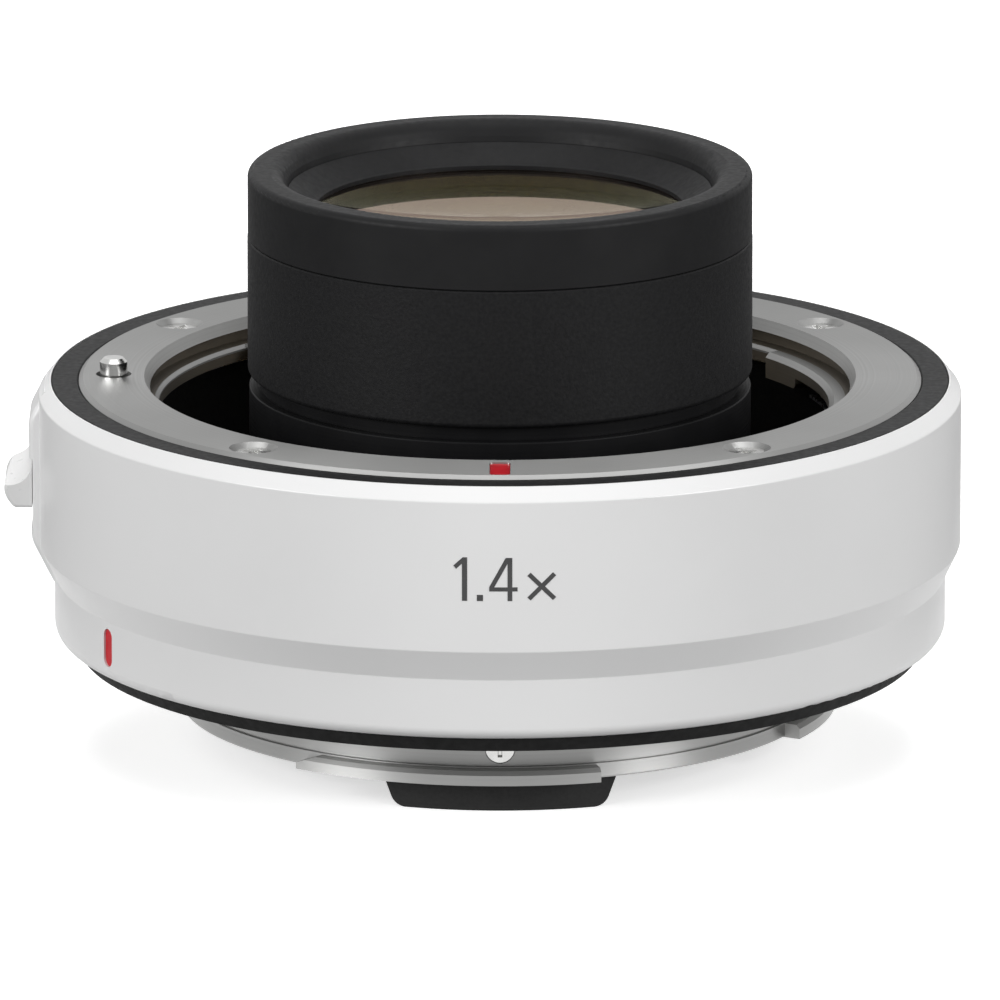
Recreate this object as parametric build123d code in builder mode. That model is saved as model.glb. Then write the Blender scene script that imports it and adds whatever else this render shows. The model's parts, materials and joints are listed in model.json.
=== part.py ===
from build123d import *
import math
import os

os.makedirs("parts", exist_ok=True)

# Camera teleconverter, 1.4 times, in millimetres.
# Z is the optical axis and points to the lens side. Height zero is the camera-side flange.
# The side with the number faces -Y, and the release lever is on the -X side.

# Driving dimensions
flange_distance = 20.3
optical_rise = 16.2
foot_depth = 8.3
tube_radius = 19.45
lever_travel = 1.6

# Widths from the optical barrel outwards, first on the lens side and then on the camera side
throat_space = 5.95
claw_width = 0.95
lip_width = 0.65
plate_width = 5.5
bezel_width = 2.1
rim_width = 1.0
step_inset = 1.15
lower_wall = 1.05
collar_inset = 0.1
flex_room = 0.85
contact_inset = 1.2
pilot_space = 3.1
pilot_wall = 1.5
lug_reach = 1.25
gasket_room = 2.0

# Thicknesses that set the main levels
plate_thickness = 1.6
chassis_flange_thickness = 1.7
rear_flange_thickness = 1.5
web_thickness = 1.8
chassis_wall = 1.2

# Fits and small values that several pieces share
fit_gap = 0.05
free_gap = 0.3
cut_over = 1.0
edge_break = 0.1
inlay_gap = 0.03

# Main radii
claw_radius = tube_radius + throat_space
lug_pass_radius = claw_radius + claw_width
throat_radius = lug_pass_radius + lip_width
plate_radius = throat_radius + plate_width
bezel_radius = plate_radius + bezel_width
barrel_radius = bezel_radius + rim_width
lower_wall_radius = barrel_radius - step_inset
barrel_bore = lower_wall_radius - lower_wall
rear_flange_radius = barrel_bore - gasket_room
collar_radius = tube_radius - collar_inset
web_bore = collar_radius + flex_room
contact_circle = web_bore + contact_inset
pilot_bore = web_bore + pilot_space
pilot_radius = pilot_bore + pilot_wall
lug_radius = pilot_radius + lug_reach

# Main levels
mount_seat = flange_distance - plate_thickness
chassis_flange_low = mount_seat - chassis_flange_thickness
web_top = rear_flange_thickness + web_thickness
optical_top = flange_distance + optical_rise

# Directions in degrees about the optical axis from +X
front_angle = -90.0
contact_angle = 90.0
lever_angle = 180.0
index_turn = 60.4
square_cone = 90.0


# Outlines and placing

def section(*points, angle=0.0, rounded=()):
    """A closed outline of radius and height points, in a plane through the optical axis."""
    turn = math.radians(angle)
    cut = Plane(
        origin=(0, 0, 0),
        x_dir=(math.cos(turn), math.sin(turn), 0),
        z_dir=(math.sin(turn), -math.cos(turn), 0),
    )
    with BuildSketch(cut) as outline:
        with BuildLine():
            Polyline(*points, close=True)
        make_face()
        for corner, radius in rounded:
            fillet(outline.vertices().sort_by_distance(corner)[0], radius)
    return outline.sketch


def ring(inner, outer, low, high, angle=0.0):
    """The section of a plain ring between two radii and two heights."""
    return section((inner, low), (outer, low), (outer, high), (inner, high), angle=angle)


def lens_section(radius, rim_top, rim_bottom, top_rise, bottom_drop):
    """Half the section of a lens with round surfaces. A negative rise or drop is hollow."""
    with BuildSketch(Plane.XZ) as half:
        with BuildLine():
            TangentArc((0, rim_top + top_rise), (radius, rim_top), tangent=(1, 0))
            Line((radius, rim_top), (radius, rim_bottom))
            TangentArc((0, rim_bottom - bottom_drop), (radius, rim_bottom), tangent=(1, 0))
            Line((0, rim_bottom - bottom_drop), (0, rim_top + top_rise))
        make_face()
    return half.sketch


def past_rim(radius, bulge, seat_radius):
    """How far a round lens surface stands past its rim at a smaller radius."""
    curve = (radius**2 + bulge**2) / (2 * bulge)
    return bulge - (curve - math.sqrt(curve**2 - seat_radius**2))


def around(radius, angle, height):
    """A point at a radius and an angle about the optical axis."""
    turn = math.radians(angle)
    return (radius * math.cos(turn), radius * math.sin(turn), height)


def facing_out(radius, angle, height):
    """A plane square to a radius that faces away from the optical axis, with its Y axis up."""
    turn = math.radians(angle)
    return Plane(
        origin=around(radius, angle, height),
        x_dir=(-math.sin(turn), math.cos(turn), 0),
        z_dir=(math.cos(turn), math.sin(turn), 0),
    )


def from_above(radius, height, angles):
    """Places at one radius and height for things that point down."""
    return [Location(around(radius, angle, height), (0, 0, angle)) for angle in angles]


def from_below(radius, height, angles):
    """Places at one radius and height for things that point up."""
    return [Location(around(radius, angle, height), (180, 0, angle)) for angle in angles]


# Cross recess of a screw head, as shares of the head radius
cross_length_shares = 1.25
cross_width_shares = 0.32
cross_depth_shares = 0.36
cross_taper = 12


def cross_screw(head_radius, head_height, shank_radius, length, countersunk=True):
    """A cross-head screw. The top of its head is at height zero and it points down."""
    cross_length = head_radius * cross_length_shares
    cross_width = head_radius * cross_width_shares
    under_radius = shank_radius if countersunk else head_radius
    with BuildPart() as screw:
        revolve(
            section((0, 0), (head_radius, 0), (under_radius, -head_height), (0, -head_height)),
            axis=Axis.Z,
        )
        revolve(ring(0, shank_radius, -length, -head_height), axis=Axis.Z)
        with BuildSketch():
            Rectangle(cross_length, cross_width)
            Rectangle(cross_width, cross_length)
        extrude(amount=-head_radius * cross_depth_shares, taper=cross_taper, mode=Mode.SUBTRACT)
    return screw.part


def coil(radius, wire_radius, low, high, turns):
    """A coil spring of round wire about its own axis, between two heights."""
    rise = high - low - 2 * wire_radius
    start = low + wire_radius
    with BuildPart() as spring:
        with BuildLine() as path:
            Helix(pitch=rise / turns, height=rise, radius=radius, center=(0, 0, start))
        with BuildSketch(Plane(origin=path.line @ 0, z_dir=path.line % 0)):
            Circle(wire_radius)
        sweep(path=path.line, is_frenet=True)
    return spring.part


# Barrel shell: a bevel on top, a lower wall set in below a sloped step, and the lever's boss
shell_foot = 0.2
foot_fillet_share = 0.86
shell_edge_fillet = 0.25
shell_top_drop = 0.24
step_low = 4.95
step_rise = 2.45
bevel_height = 1.06
rim_flat = 0.1
step_high = step_low + step_rise
shell_top = flange_distance - shell_top_drop
bevel_low = shell_top - bevel_height
bezel_pocket = bezel_radius + fit_gap
bevel_radius = bezel_pocket + rim_flat
bevel_width = barrel_radius - bevel_radius
shell_foot_fillet = lower_wall * foot_fillet_share

# The lever's height, the boss round it, the pocket where its knob slides and the slot for its shank
lever_drop = 8.2
shank_height = 2.2
shank_half_width = 1.5
knob_above = 2.15
knob_height = 3.86
boss_reach = 0.74
boss_half_width = 3.2
boss_foot_sink = 0.35
boss_foot_drop = 0.45
boss_slope_rise = 3.3
boss_slope_drop = 2.3
boss_top_drop = 0.46
boss_lip_inset = 0.22
boss_bend_fillet = 2.5
boss_side_fillet = 0.45
pocket_depth = 0.32
lever_middle = flange_distance - lever_drop
shank_high = lever_middle + shank_height / 2
knob_high = lever_middle + knob_above
knob_low = knob_high - knob_height
boss_root = bezel_radius + 2 * fit_gap
boss_face = barrel_radius + boss_reach
boss_foot = step_low - boss_foot_drop
boss_top = shell_top - boss_top_drop
boss_outline = (
    (-lower_wall_radius + boss_foot_sink, boss_foot),
    (-lower_wall_radius, boss_foot),
    (-boss_face + boss_lip_inset, boss_foot + boss_slope_rise),
    (-boss_face, boss_top - boss_slope_drop),
    (-bevel_radius - boss_top_drop * bevel_width / bevel_height, boss_top),
    (-boss_root, boss_top),
)
pocket_floor = boss_face - pocket_depth
pocket_high = knob_high + fit_gap
pocket_low = knob_low - lever_travel - fit_gap
slot_height = shank_height + lever_travel + 2 * free_gap
slot_middle = lever_middle - lever_travel / 2
slot_half_width = shank_half_width + fit_gap
slot_fillet = 0.4

with BuildPart() as lever_boss:
    with BuildSketch(Plane.XZ) as boss_side:
        with BuildLine():
            Polyline(*boss_outline, close=True)
        make_face()
        for bend in boss_outline[2:4]:
            fillet(boss_side.vertices().sort_by_distance(bend)[0], boss_bend_fillet)
    extrude(amount=boss_half_width, both=True)
    for end in (0, -1):
        boss_side_face = lever_boss.faces().sort_by(Axis.Y)[end]
        fillet(boss_side_face.edges().sort_by(Axis.X)[:-3], boss_side_fillet)
    with BuildSketch(facing_out(pocket_floor, lever_angle, (pocket_low + pocket_high) / 2)):
        Rectangle(2 * boss_half_width, pocket_high - pocket_low)
    extrude(amount=pocket_depth + cut_over, mode=Mode.SUBTRACT)

# The red camera index is an inlay in the lower wall
camera_index_angle = front_angle - index_turn
index_slot_length = 3.0
index_slot_width = 1.28
index_slot_depth = 0.45
index_slot_rise = 2.7
index_slot_sink = 0.15
index_slot_floor = lower_wall_radius - index_slot_depth
index_slot_middle = shell_foot + index_slot_rise

with BuildPart() as barrel_shell:
    revolve(
        section(
            (barrel_bore, shell_foot),
            (lower_wall_radius, shell_foot),
            (lower_wall_radius, step_low),
            (barrel_radius, step_high),
            (barrel_radius, bevel_low),
            (bevel_radius, shell_top),
            (bezel_pocket, shell_top),
            (bezel_pocket, mount_seat),
            (barrel_bore, mount_seat),
            rounded=(
                ((lower_wall_radius, shell_foot), shell_foot_fillet),
                ((lower_wall_radius, step_low), shell_edge_fillet),
                ((barrel_radius, step_high), shell_edge_fillet),
                ((barrel_radius, bevel_low), shell_edge_fillet),
            ),
        ),
        axis=Axis.Z,
    )
    add(lever_boss.part)
    with BuildSketch(facing_out(barrel_bore - cut_over, lever_angle, slot_middle)):
        RectangleRounded(2 * slot_half_width, slot_height, slot_fillet)
    extrude(amount=boss_face - barrel_bore + 2 * cut_over, mode=Mode.SUBTRACT)
    with BuildSketch(facing_out(index_slot_floor, camera_index_angle, index_slot_middle)):
        SlotOverall(index_slot_length, index_slot_width, rotation=90)
    extrude(amount=index_slot_depth + cut_over, mode=Mode.SUBTRACT)

with BuildPart() as camera_index_mark:
    with BuildSketch(facing_out(index_slot_floor, camera_index_angle, index_slot_middle)):
        SlotOverall(
            index_slot_length - 2 * inlay_gap,
            index_slot_width - 2 * inlay_gap,
            rotation=90,
        )
    extrude(amount=index_slot_depth - index_slot_sink)

# Black bezel ring between the shell and the mount plate
bezel_bore = plate_radius + fit_gap
with BuildPart() as front_bezel:
    revolve(
        section(
            (bezel_bore, mount_seat),
            (bezel_radius, mount_seat),
            (bezel_radius, shell_top - edge_break),
            (bezel_radius - edge_break, shell_top),
            (bezel_bore + edge_break, shell_top),
            (bezel_bore, shell_top - edge_break),
        ),
        axis=Axis.Z,
    )

# Lens-side mount plate: lead-in cone, undercut, pass ring and claws
plate_bevel_height = 0.3
plate_bevel_width = 0.35
cone_width = 0.45
cone_depth = 0.85
undercut_width = 0.75
undercut_height = 1.05
claw_thickness = 1.15
neck_wall = 0.5
claw_bevel = 0.38
pass_bevel = 0.25
claw_root_overlap = 0.3
claw_spans = ((-20.0, 55.3), (90.5, 48.0), (-133.0, 43.6))
undercut_radius = throat_radius + undercut_width
neck_radius = undercut_radius + neck_wall
undercut_high = flange_distance - cone_depth
claw_high = undercut_high - undercut_height
claw_low = claw_high - claw_thickness

# The shield's radii set how far in the plate's screws and the lock pin can stand
shield_wall = 0.8
neck_play = 0.1
leaf_radius = neck_radius - fit_gap
shield_radius = leaf_radius - neck_play
shield_bore = shield_radius - shield_wall

# The stop under the first claw, where the turned lens ends
stop_span = 10.0
stop_height = 0.85
stop_rounding = 0.4
stop_start = claw_spans[0][0] + claw_spans[0][1] - stop_span
stop_low = claw_low - stop_height

# Screws of the plate
post_radius = 1.6
post_gap = 0.35
front_screw_circle = shield_radius + post_gap + post_radius
front_screw_angles = (
    front_angle - 38.4,
    front_angle + 38.4,
    contact_angle - 56.4,
    contact_angle + 56.4,
)
front_sink_radius = 1.85
front_head_sink = 0.35
front_shank_radius = 0.8
front_screw_length = 6.55
front_head_radius = front_sink_radius - front_head_sink - fit_gap
front_head_height = front_head_radius - front_shank_radius
front_head_top = flange_distance - front_head_sink
front_tip = front_head_top - front_screw_length

# The lock pin's place and its hole, and the red lens index
pin_collar_radius = 1.45
pin_collar_room = 0.25
pin_circle = shield_radius + pin_collar_room + pin_collar_radius
pin_radius = 1.07
pin_hole_radius = pin_radius + free_gap
lens_index_margin = 1.15
lens_index_edge = 0.5
lens_index_width = 1.58
lens_index_rounding = 0.3
lens_index_depth = 0.4
lens_index_sink = 0.12
lens_index_inner = throat_radius + lens_index_margin
lens_index_outer = plate_radius - lens_index_edge
lens_index_middle = (lens_index_inner + lens_index_outer) / 2
lens_index_length = lens_index_outer - lens_index_inner

with BuildPart() as claws:
    for claw_start, claw_span in claw_spans:
        revolve(
            section(
                (claw_radius, claw_low),
                (lug_pass_radius + claw_root_overlap, claw_low),
                (lug_pass_radius + claw_root_overlap, claw_high),
                (claw_radius + claw_bevel, claw_high),
                (claw_radius, claw_high - claw_bevel),
                angle=claw_start,
            ),
            axis=Axis.Z,
            revolution_arc=claw_span,
        )
    revolve(
        ring(
            claw_radius,
            lug_pass_radius + claw_root_overlap,
            stop_low,
            claw_high - claw_bevel,
            stop_start,
        ),
        axis=Axis.Z,
        revolution_arc=stop_span,
    )
    stop_corner = around(lug_pass_radius, stop_start, stop_low)
    fillet(claws.edges().sort_by_distance(stop_corner)[0], stop_rounding)

with BuildPart() as front_mount_plate:
    revolve(
        section(
            (plate_radius, mount_seat),
            (plate_radius, flange_distance - plate_bevel_height),
            (plate_radius - plate_bevel_width, flange_distance),
            (throat_radius + cone_width, flange_distance),
            (throat_radius, undercut_high),
            (undercut_radius, undercut_high),
            (undercut_radius, claw_high),
            (lug_pass_radius + pass_bevel, claw_high),
            (lug_pass_radius, claw_high - pass_bevel),
            (lug_pass_radius, claw_low),
            (neck_radius, claw_low),
            (neck_radius, mount_seat),
        ),
        axis=Axis.Z,
    )
    add(claws.part)
    with Locations(*from_above(front_screw_circle, flange_distance, front_screw_angles)):
        CounterSinkHole(
            front_shank_radius + fit_gap,
            front_sink_radius,
            depth=plate_thickness + cut_over,
            counter_sink_angle=square_cone,
        )
    with Locations(around(pin_circle, lever_angle, flange_distance)):
        Hole(pin_hole_radius)
    with BuildSketch(Plane.XY.offset(flange_distance)):
        with Locations(around(lens_index_middle, front_angle, 0)):
            RectangleRounded(lens_index_width, lens_index_length, lens_index_rounding)
    extrude(amount=-lens_index_depth, mode=Mode.SUBTRACT)

with BuildPart() as lens_index_mark:
    with BuildSketch(Plane.XY.offset(flange_distance - lens_index_depth)):
        with Locations(around(lens_index_middle, front_angle, 0)):
            RectangleRounded(
                lens_index_width - 2 * inlay_gap,
                lens_index_length - 2 * inlay_gap,
                lens_index_rounding - inlay_gap,
            )
    extrude(amount=lens_index_depth - lens_index_sink)

front_screw = cross_screw(
    front_head_radius, front_head_height, front_shank_radius, front_screw_length
)
with BuildPart() as front_mount_screws:
    with Locations(*from_above(front_screw_circle, front_head_top, front_screw_angles)):
        add(front_screw)

# Sleeve that lines the throat, between the web and the leaf spring
chassis_flange_bore = neck_radius + neck_play
flex_half_angle = 10.0
flex_room_angle = 1.5
notch_height = 1.8
notch_start = contact_angle - flex_half_angle - flex_room_angle
notch_span = 2 * (flex_half_angle + flex_room_angle)
leaf_thickness = 0.25
shield_top = claw_low - leaf_thickness

with BuildPart() as throat_shield:
    revolve(ring(shield_bore, shield_radius, web_top, shield_top), axis=Axis.Z)
    revolve(
        ring(
            shield_bore - cut_over,
            shield_radius + cut_over,
            web_top - cut_over,
            web_top + notch_height,
            notch_start,
        ),
        axis=Axis.Z,
        revolution_arc=notch_span,
        mode=Mode.SUBTRACT,
    )

# Leaf spring under the claws: a ring clamped under the plate, with three sprung fingers
leaf_ring_lip = 0.4
finger_inset = 0.2
finger_width = 1.1
riser_play = 0.1
finger_drop = 0.75
riser_span = 3.0
finger_spans = ((-128.0, 33.0), (-15.0, 35.0), (95.0, 38.0))
leaf_ring_bore = shield_bore - leaf_ring_lip
finger_inner = claw_radius + finger_inset
finger_outer = finger_inner + finger_width
riser_inner = lug_pass_radius + riser_play
finger_low = shield_top - finger_drop

with BuildPart() as bayonet_leaf_spring:
    revolve(ring(leaf_ring_bore, leaf_radius, shield_top, claw_low), axis=Axis.Z)
    for finger_start, finger_span in finger_spans:
        revolve(
            ring(finger_inner, finger_outer, finger_low, finger_low + leaf_thickness, finger_start),
            axis=Axis.Z,
            revolution_arc=finger_span,
        )
        revolve(
            ring(riser_inner, leaf_ring_bore + leaf_thickness, finger_low, claw_low, finger_start),
            axis=Axis.Z,
            revolution_arc=riser_span,
        )

# Release slide: a plate in a window of the chassis wall, with an arm that holds the lock pin
chassis_radius = barrel_bore - free_gap
chassis_bore = chassis_radius - chassis_wall
slide_gap = 0.1
slide_thickness = 0.95
slide_half_width = 3.5
slide_below = 3.2
slide_above = 4.4
slide_outer = chassis_radius - slide_gap
slide_inner = slide_outer - slide_thickness
slide_low = lever_middle - slide_below
slide_high = lever_middle + slide_above
arm_half_width = 1.9
arm_height = 1.2
arm_reach = 1.5
arm_low = shank_high
arm_high = arm_low + arm_height
arm_end = pin_circle - arm_reach
arm_hole_radius = pin_radius + 2 * fit_gap
shank_outer = pocket_floor + fit_gap
lever_screw_shank = 0.5
lever_screw_head = 0.95
lever_screw_head_height = 0.5
lever_screw_reach = 2.2
window_low = slide_low - lever_travel - free_gap
window_half_width = slide_half_width + fit_gap

with BuildPart() as release_slide:
    with BuildSketch(facing_out(slide_inner, lever_angle, (slide_low + slide_high) / 2)):
        Rectangle(2 * slide_half_width, slide_high - slide_low)
    extrude(amount=slide_thickness)
    with BuildSketch(Plane.XY.offset(arm_low)):
        with Locations((-(slide_inner + arm_end) / 2, 0)):
            Rectangle(slide_inner - arm_end, 2 * arm_half_width)
    extrude(amount=arm_height)
    with Locations(around(pin_circle, lever_angle, arm_high)):
        Hole(arm_hole_radius, depth=arm_height)
    with BuildSketch(facing_out(slide_inner, lever_angle, lever_middle)):
        Circle(lever_screw_shank + fit_gap)
    extrude(amount=slide_thickness, mode=Mode.SUBTRACT)

# Release lever: a shank through the slot and a thumb knob outside the boss
knob_reach = 2.18
knob_half_width = 3.1
knob_shares = ((0, 1), (0.44, 0.84), (0.8, 0.67), (0.98, 0.46), (0.95, 0.26), (0.76, 0.08), (0.5, 0))
knob_slope_share = 0.6
knob_fillet = 0.3
scoop_radius = 1.85
scoop_reach = 1.8
scoop_drop = 0.17
scoop_tilt_rise = 0.95
shank_fillet = 0.4
knob_outline = [
    (-shank_outer - out * knob_reach, knob_low + up * knob_height) for out, up in knob_shares
]
scoop_start = Vector(-shank_outer - scoop_reach, -knob_half_width, knob_high - scoop_drop)
scoop_line = Vector(0, 2 * knob_half_width, scoop_tilt_rise)

with BuildPart() as release_lever:
    with BuildSketch(Plane.XZ):
        with BuildLine():
            Spline(*knob_outline, tangents=((-1, -knob_slope_share), (1, 0)))
            Polyline(knob_outline[-1], (-shank_outer, knob_low), knob_outline[0])
        make_face()
    extrude(amount=knob_half_width, both=True)
    for end in (0, -1):
        knob_side = release_lever.faces().sort_by(Axis.Y)[end]
        fillet(knob_side.edges().sort_by(Axis.X)[:-1], knob_fillet)
    with BuildSketch(Plane(origin=scoop_start - scoop_line, z_dir=scoop_line)):
        Circle(scoop_radius)
    extrude(amount=3 * scoop_line.length, mode=Mode.SUBTRACT)
    with BuildSketch(facing_out(slide_outer, lever_angle, lever_middle)):
        RectangleRounded(2 * shank_half_width, shank_height, shank_fillet)
    extrude(amount=shank_outer - slide_outer)
    with BuildSketch(facing_out(slide_outer, lever_angle, lever_middle)):
        Circle(lever_screw_shank + fit_gap)
    extrude(amount=lever_screw_reach + fit_gap, mode=Mode.SUBTRACT)

lever_screw_top = slide_inner - lever_screw_head_height
with BuildPart() as lever_screw:
    with Locations(facing_out(-lever_screw_top, 0, lever_middle).location):
        add(
            cross_screw(
                lever_screw_head,
                lever_screw_head_height,
                lever_screw_shank,
                slide_outer + lever_screw_reach - lever_screw_top,
                countersunk=False,
            )
        )

# Lock pin: its shaft runs through the slide's arm, which pulls it down by its collar
pin_proud = 1.3
pin_bevel = 0.3
pin_collar_height = 1.1
pin_collar_gap = 0.1
pin_stem_radius = 0.8
pin_stem_gap = 0.8
spring_seat_height = 1.9
pin_top = flange_distance + pin_proud
pin_collar_high = arm_low - pin_collar_gap
pin_collar_low = pin_collar_high - pin_collar_height
spring_seat_top = web_top + spring_seat_height
pin_stem_low = spring_seat_top + pin_stem_gap
pin_axis = Axis(around(pin_circle, lever_angle, 0), (0, 0, 1))

with BuildPart() as lock_pin:
    revolve(
        section(
            (pin_circle, pin_stem_low),
            (pin_circle + pin_stem_radius, pin_stem_low),
            (pin_circle + pin_stem_radius, pin_collar_low),
            (pin_circle + pin_collar_radius, pin_collar_low),
            (pin_circle + pin_collar_radius, pin_collar_high),
            (pin_circle + pin_radius, pin_collar_high),
            (pin_circle + pin_radius, pin_top - pin_bevel),
            (pin_circle + pin_radius - pin_bevel, pin_top),
            (pin_circle, pin_top),
            angle=lever_angle,
        ),
        axis=pin_axis,
    )

spring_seat_radius = 1.6
spring_seat_floor = 0.3
pin_spring_radius = 1.15
pin_spring_wire = 0.16
pin_spring_turns = 6.5
with BuildPart() as lock_pin_spring:
    with Locations(around(pin_circle, lever_angle, 0)):
        add(
            coil(
                pin_spring_radius,
                pin_spring_wire,
                spring_seat_top + fit_gap,
                pin_collar_low - fit_gap,
                pin_spring_turns,
            )
        )

# Board and its height over the web, which the chassis posts share
board_rise = 4.7
board_thickness = 0.8
board_inner = shield_radius + neck_play
board_outer = chassis_bore - free_gap
board_middle = (board_inner + board_outer) / 2
board_half_angle = 55.0
board_post_radius = 1.1
board_post_turn = 25.0
board_screw_radius = 0.5
board_screw_length = 4.0
board_screw_head = 0.9
board_screw_head_height = 0.5
board_low = web_top + board_rise
board_top = board_low + board_thickness
board_post_angles = (contact_angle - board_post_turn, contact_angle + board_post_turn)
board_screw_top = board_top + board_screw_head_height

# Inner chassis: the web on the camera side, the outer wall and the flange on the lens side
post_length = 4.5
post_root = chassis_bore + chassis_wall / 2 - front_screw_circle
post_low = chassis_flange_low - post_length
guide_radius = 1.6
guide_length = 2.0
barrel_screw_inset = 2.3
barrel_screw_radius = 0.6
barrel_screw_angles = (front_angle, 0.0, lever_angle)
pilot_step = 2.1
rear_screw_radius = 0.75
rear_screw_angles = (45.0, 135.0, 225.0, 315.0)
barrel_screw_circle = web_bore + barrel_screw_inset
pilot_step_radius = pilot_radius + pilot_step
rear_screw_circle = (pilot_step_radius + rear_flange_radius) / 2

with BuildPart() as inner_chassis:
    revolve(
        section(
            (web_bore, rear_flange_thickness),
            (chassis_radius, rear_flange_thickness),
            (chassis_radius, mount_seat),
            (chassis_flange_bore, mount_seat),
            (chassis_flange_bore, chassis_flange_low),
            (chassis_bore, chassis_flange_low),
            (chassis_bore, web_top),
            (web_bore, web_top),
        ),
        axis=Axis.Z,
    )
    with BuildSketch(Plane.XY.offset(post_low)):
        with Locations(*from_above(front_screw_circle, 0, front_screw_angles)):
            Circle(post_radius)
            Rectangle(post_root, 2 * post_radius, align=(Align.MIN, Align.CENTER))
    extrude(amount=post_length)
    with BuildSketch(Plane.XY.offset(chassis_flange_low - guide_length)):
        with Locations(around(pin_circle, lever_angle, 0)):
            Circle(guide_radius)
    extrude(amount=guide_length)
    with BuildSketch(Plane.XY.offset(web_top)):
        with Locations(around(pin_circle, lever_angle, 0)):
            Circle(spring_seat_radius)
    extrude(amount=spring_seat_height)
    with BuildSketch(Plane.XY.offset(web_top)):
        with Locations(*from_above(board_middle, 0, board_post_angles)):
            Circle(board_post_radius)
    extrude(amount=board_rise)
    with BuildSketch(facing_out(chassis_bore - free_gap, lever_angle, window_low)):
        Rectangle(
            2 * window_half_width,
            chassis_flange_low - window_low,
            align=(Align.CENTER, Align.MIN),
        )
    extrude(amount=chassis_wall + free_gap + cut_over, mode=Mode.SUBTRACT)
    with Locations(around(pin_circle, lever_angle, mount_seat)):
        Hole(pin_radius + fit_gap, depth=chassis_flange_thickness + guide_length)
    with Locations(around(pin_circle, lever_angle, spring_seat_top)):
        Hole(pin_stem_radius + 2 * fit_gap, depth=spring_seat_height - spring_seat_floor)
    with Locations(*from_above(front_screw_circle, mount_seat, front_screw_angles)):
        Hole(front_shank_radius + fit_gap, depth=mount_seat - front_tip + fit_gap)
    with Locations(*from_above(board_middle, board_low, board_post_angles)):
        Hole(board_screw_radius + fit_gap, depth=board_screw_length)
    with Locations(*from_above(barrel_screw_circle, web_top, barrel_screw_angles)):
        Hole(barrel_screw_radius + fit_gap, depth=web_thickness)
    with Locations(*from_above(rear_screw_circle, web_top, rear_screw_angles)):
        Hole(rear_screw_radius + fit_gap, depth=web_thickness)

# Optical barrel outside: smooth cap, grained tube, and the carrier with its collar and neck
cap_height = 5.07
cap_inset = 0.03
cap_rounding = 0.5
cap_lip_width = 2.42
cap_lip_rounding = 1.2
cap_cone_depth = 1.15
cap_step_width = 0.1
cap_step_height = 0.4
seam_gap = 0.03
tube_foot_rise = 0.4
tube_foot_rounding = 0.4
tube_wall = 1.85
spigot_wall = 1.2
cap_spigot_length = 1.53
carrier_spigot_length = 3.3
cap_radius = tube_radius - cap_inset
cap_low = optical_top - cap_height
tube_high = cap_low - seam_gap
tube_low = flange_distance + tube_foot_rise
tube_bore = tube_radius - tube_wall
spigot_radius = tube_bore - fit_gap
spigot_bore = spigot_radius - spigot_wall

with BuildPart() as front_barrel_cap:
    revolve(
        section(
            (spigot_bore, cap_low - cap_spigot_length),
            (spigot_radius, cap_low - cap_spigot_length),
            (spigot_radius, cap_low),
            (cap_radius - edge_break, cap_low),
            (cap_radius, cap_low + edge_break),
            (cap_radius, optical_top),
            (cap_radius - cap_lip_width, optical_top),
            (spigot_bore + cap_step_width, optical_top - cap_cone_depth),
            (spigot_bore, optical_top - cap_cone_depth - cap_step_height),
            rounded=(
                ((cap_radius, optical_top), cap_rounding),
                ((cap_radius - cap_lip_width, optical_top), cap_lip_rounding),
            ),
        ),
        axis=Axis.Z,
    )

with BuildPart() as front_lens_tube:
    revolve(
        section(
            (tube_bore, tube_low),
            (tube_radius, tube_low),
            (tube_radius, tube_high - edge_break),
            (tube_radius - edge_break, tube_high),
            (tube_bore, tube_high),
            rounded=(((tube_radius, tube_low), tube_foot_rounding),),
        ),
        axis=Axis.Z,
    )

# Cells, glass and rings inside the barrel, from the front down
glass_play = 0.02
cell_foot = 1.04
cell_top_drop = 3.35
front_cell_wall = 1.4
lens_1_edge = 2.0
lens_1_rise = 0.41
lens_1_bulge = 1.7
lens_1_seat_width = 0.7
cell_high = optical_top - cell_top_drop
front_cell_radius = spigot_bore - fit_gap
lens_1_radius = front_cell_radius - front_cell_wall
lens_1_low = cell_high - lens_1_edge
lens_1_bore = lens_1_radius - lens_1_seat_width
lens_1_seat = lens_1_low - past_rim(lens_1_radius, lens_1_bulge, lens_1_bore) - glass_play

doublet_inset = 0.6
front_air_gap = 1.95
doublet_bulge = 1.2
doublet_seat_width = 0.6
doublet_shoulder = 0.8
lens_2_edge = 1.7
lens_2_bulge = 0.9
lens_3_edge = 1.48
lens_3_bulge = 0.3
doublet_ring_wall = 1.0
doublet_ring_height = 1.1
doublet_radius = lens_1_bore - doublet_inset
lens_2_high = lens_1_low - lens_1_bulge - front_air_gap - doublet_bulge
lens_2_low = lens_2_high - lens_2_edge
lens_3_high = lens_2_low - glass_play
lens_3_low = lens_3_high - lens_3_edge
doublet_bore = doublet_radius - doublet_seat_width
doublet_seat = lens_2_high + past_rim(doublet_radius, doublet_bulge, doublet_bore) + glass_play
doublet_ring_bore = doublet_radius - doublet_ring_wall
doublet_ring_high = (
    lens_3_low - past_rim(doublet_radius, lens_3_bulge, doublet_ring_bore) - glass_play
)
doublet_ring_low = doublet_ring_high - doublet_ring_height
cell_low = doublet_ring_low - cell_foot

with BuildPart() as front_group_cell:
    revolve(
        section(
            (doublet_radius + fit_gap, cell_low),
            (front_cell_radius, cell_low),
            (front_cell_radius, cell_high),
            (lens_1_radius + fit_gap, cell_high),
            (lens_1_radius + fit_gap, lens_1_seat),
            (lens_1_bore, lens_1_seat),
            (lens_1_bore, doublet_seat + doublet_shoulder),
            (doublet_bore, doublet_seat + doublet_shoulder),
            (doublet_bore, doublet_seat),
            (doublet_radius + fit_gap, doublet_seat),
        ),
        axis=Axis.Z,
    )

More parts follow.
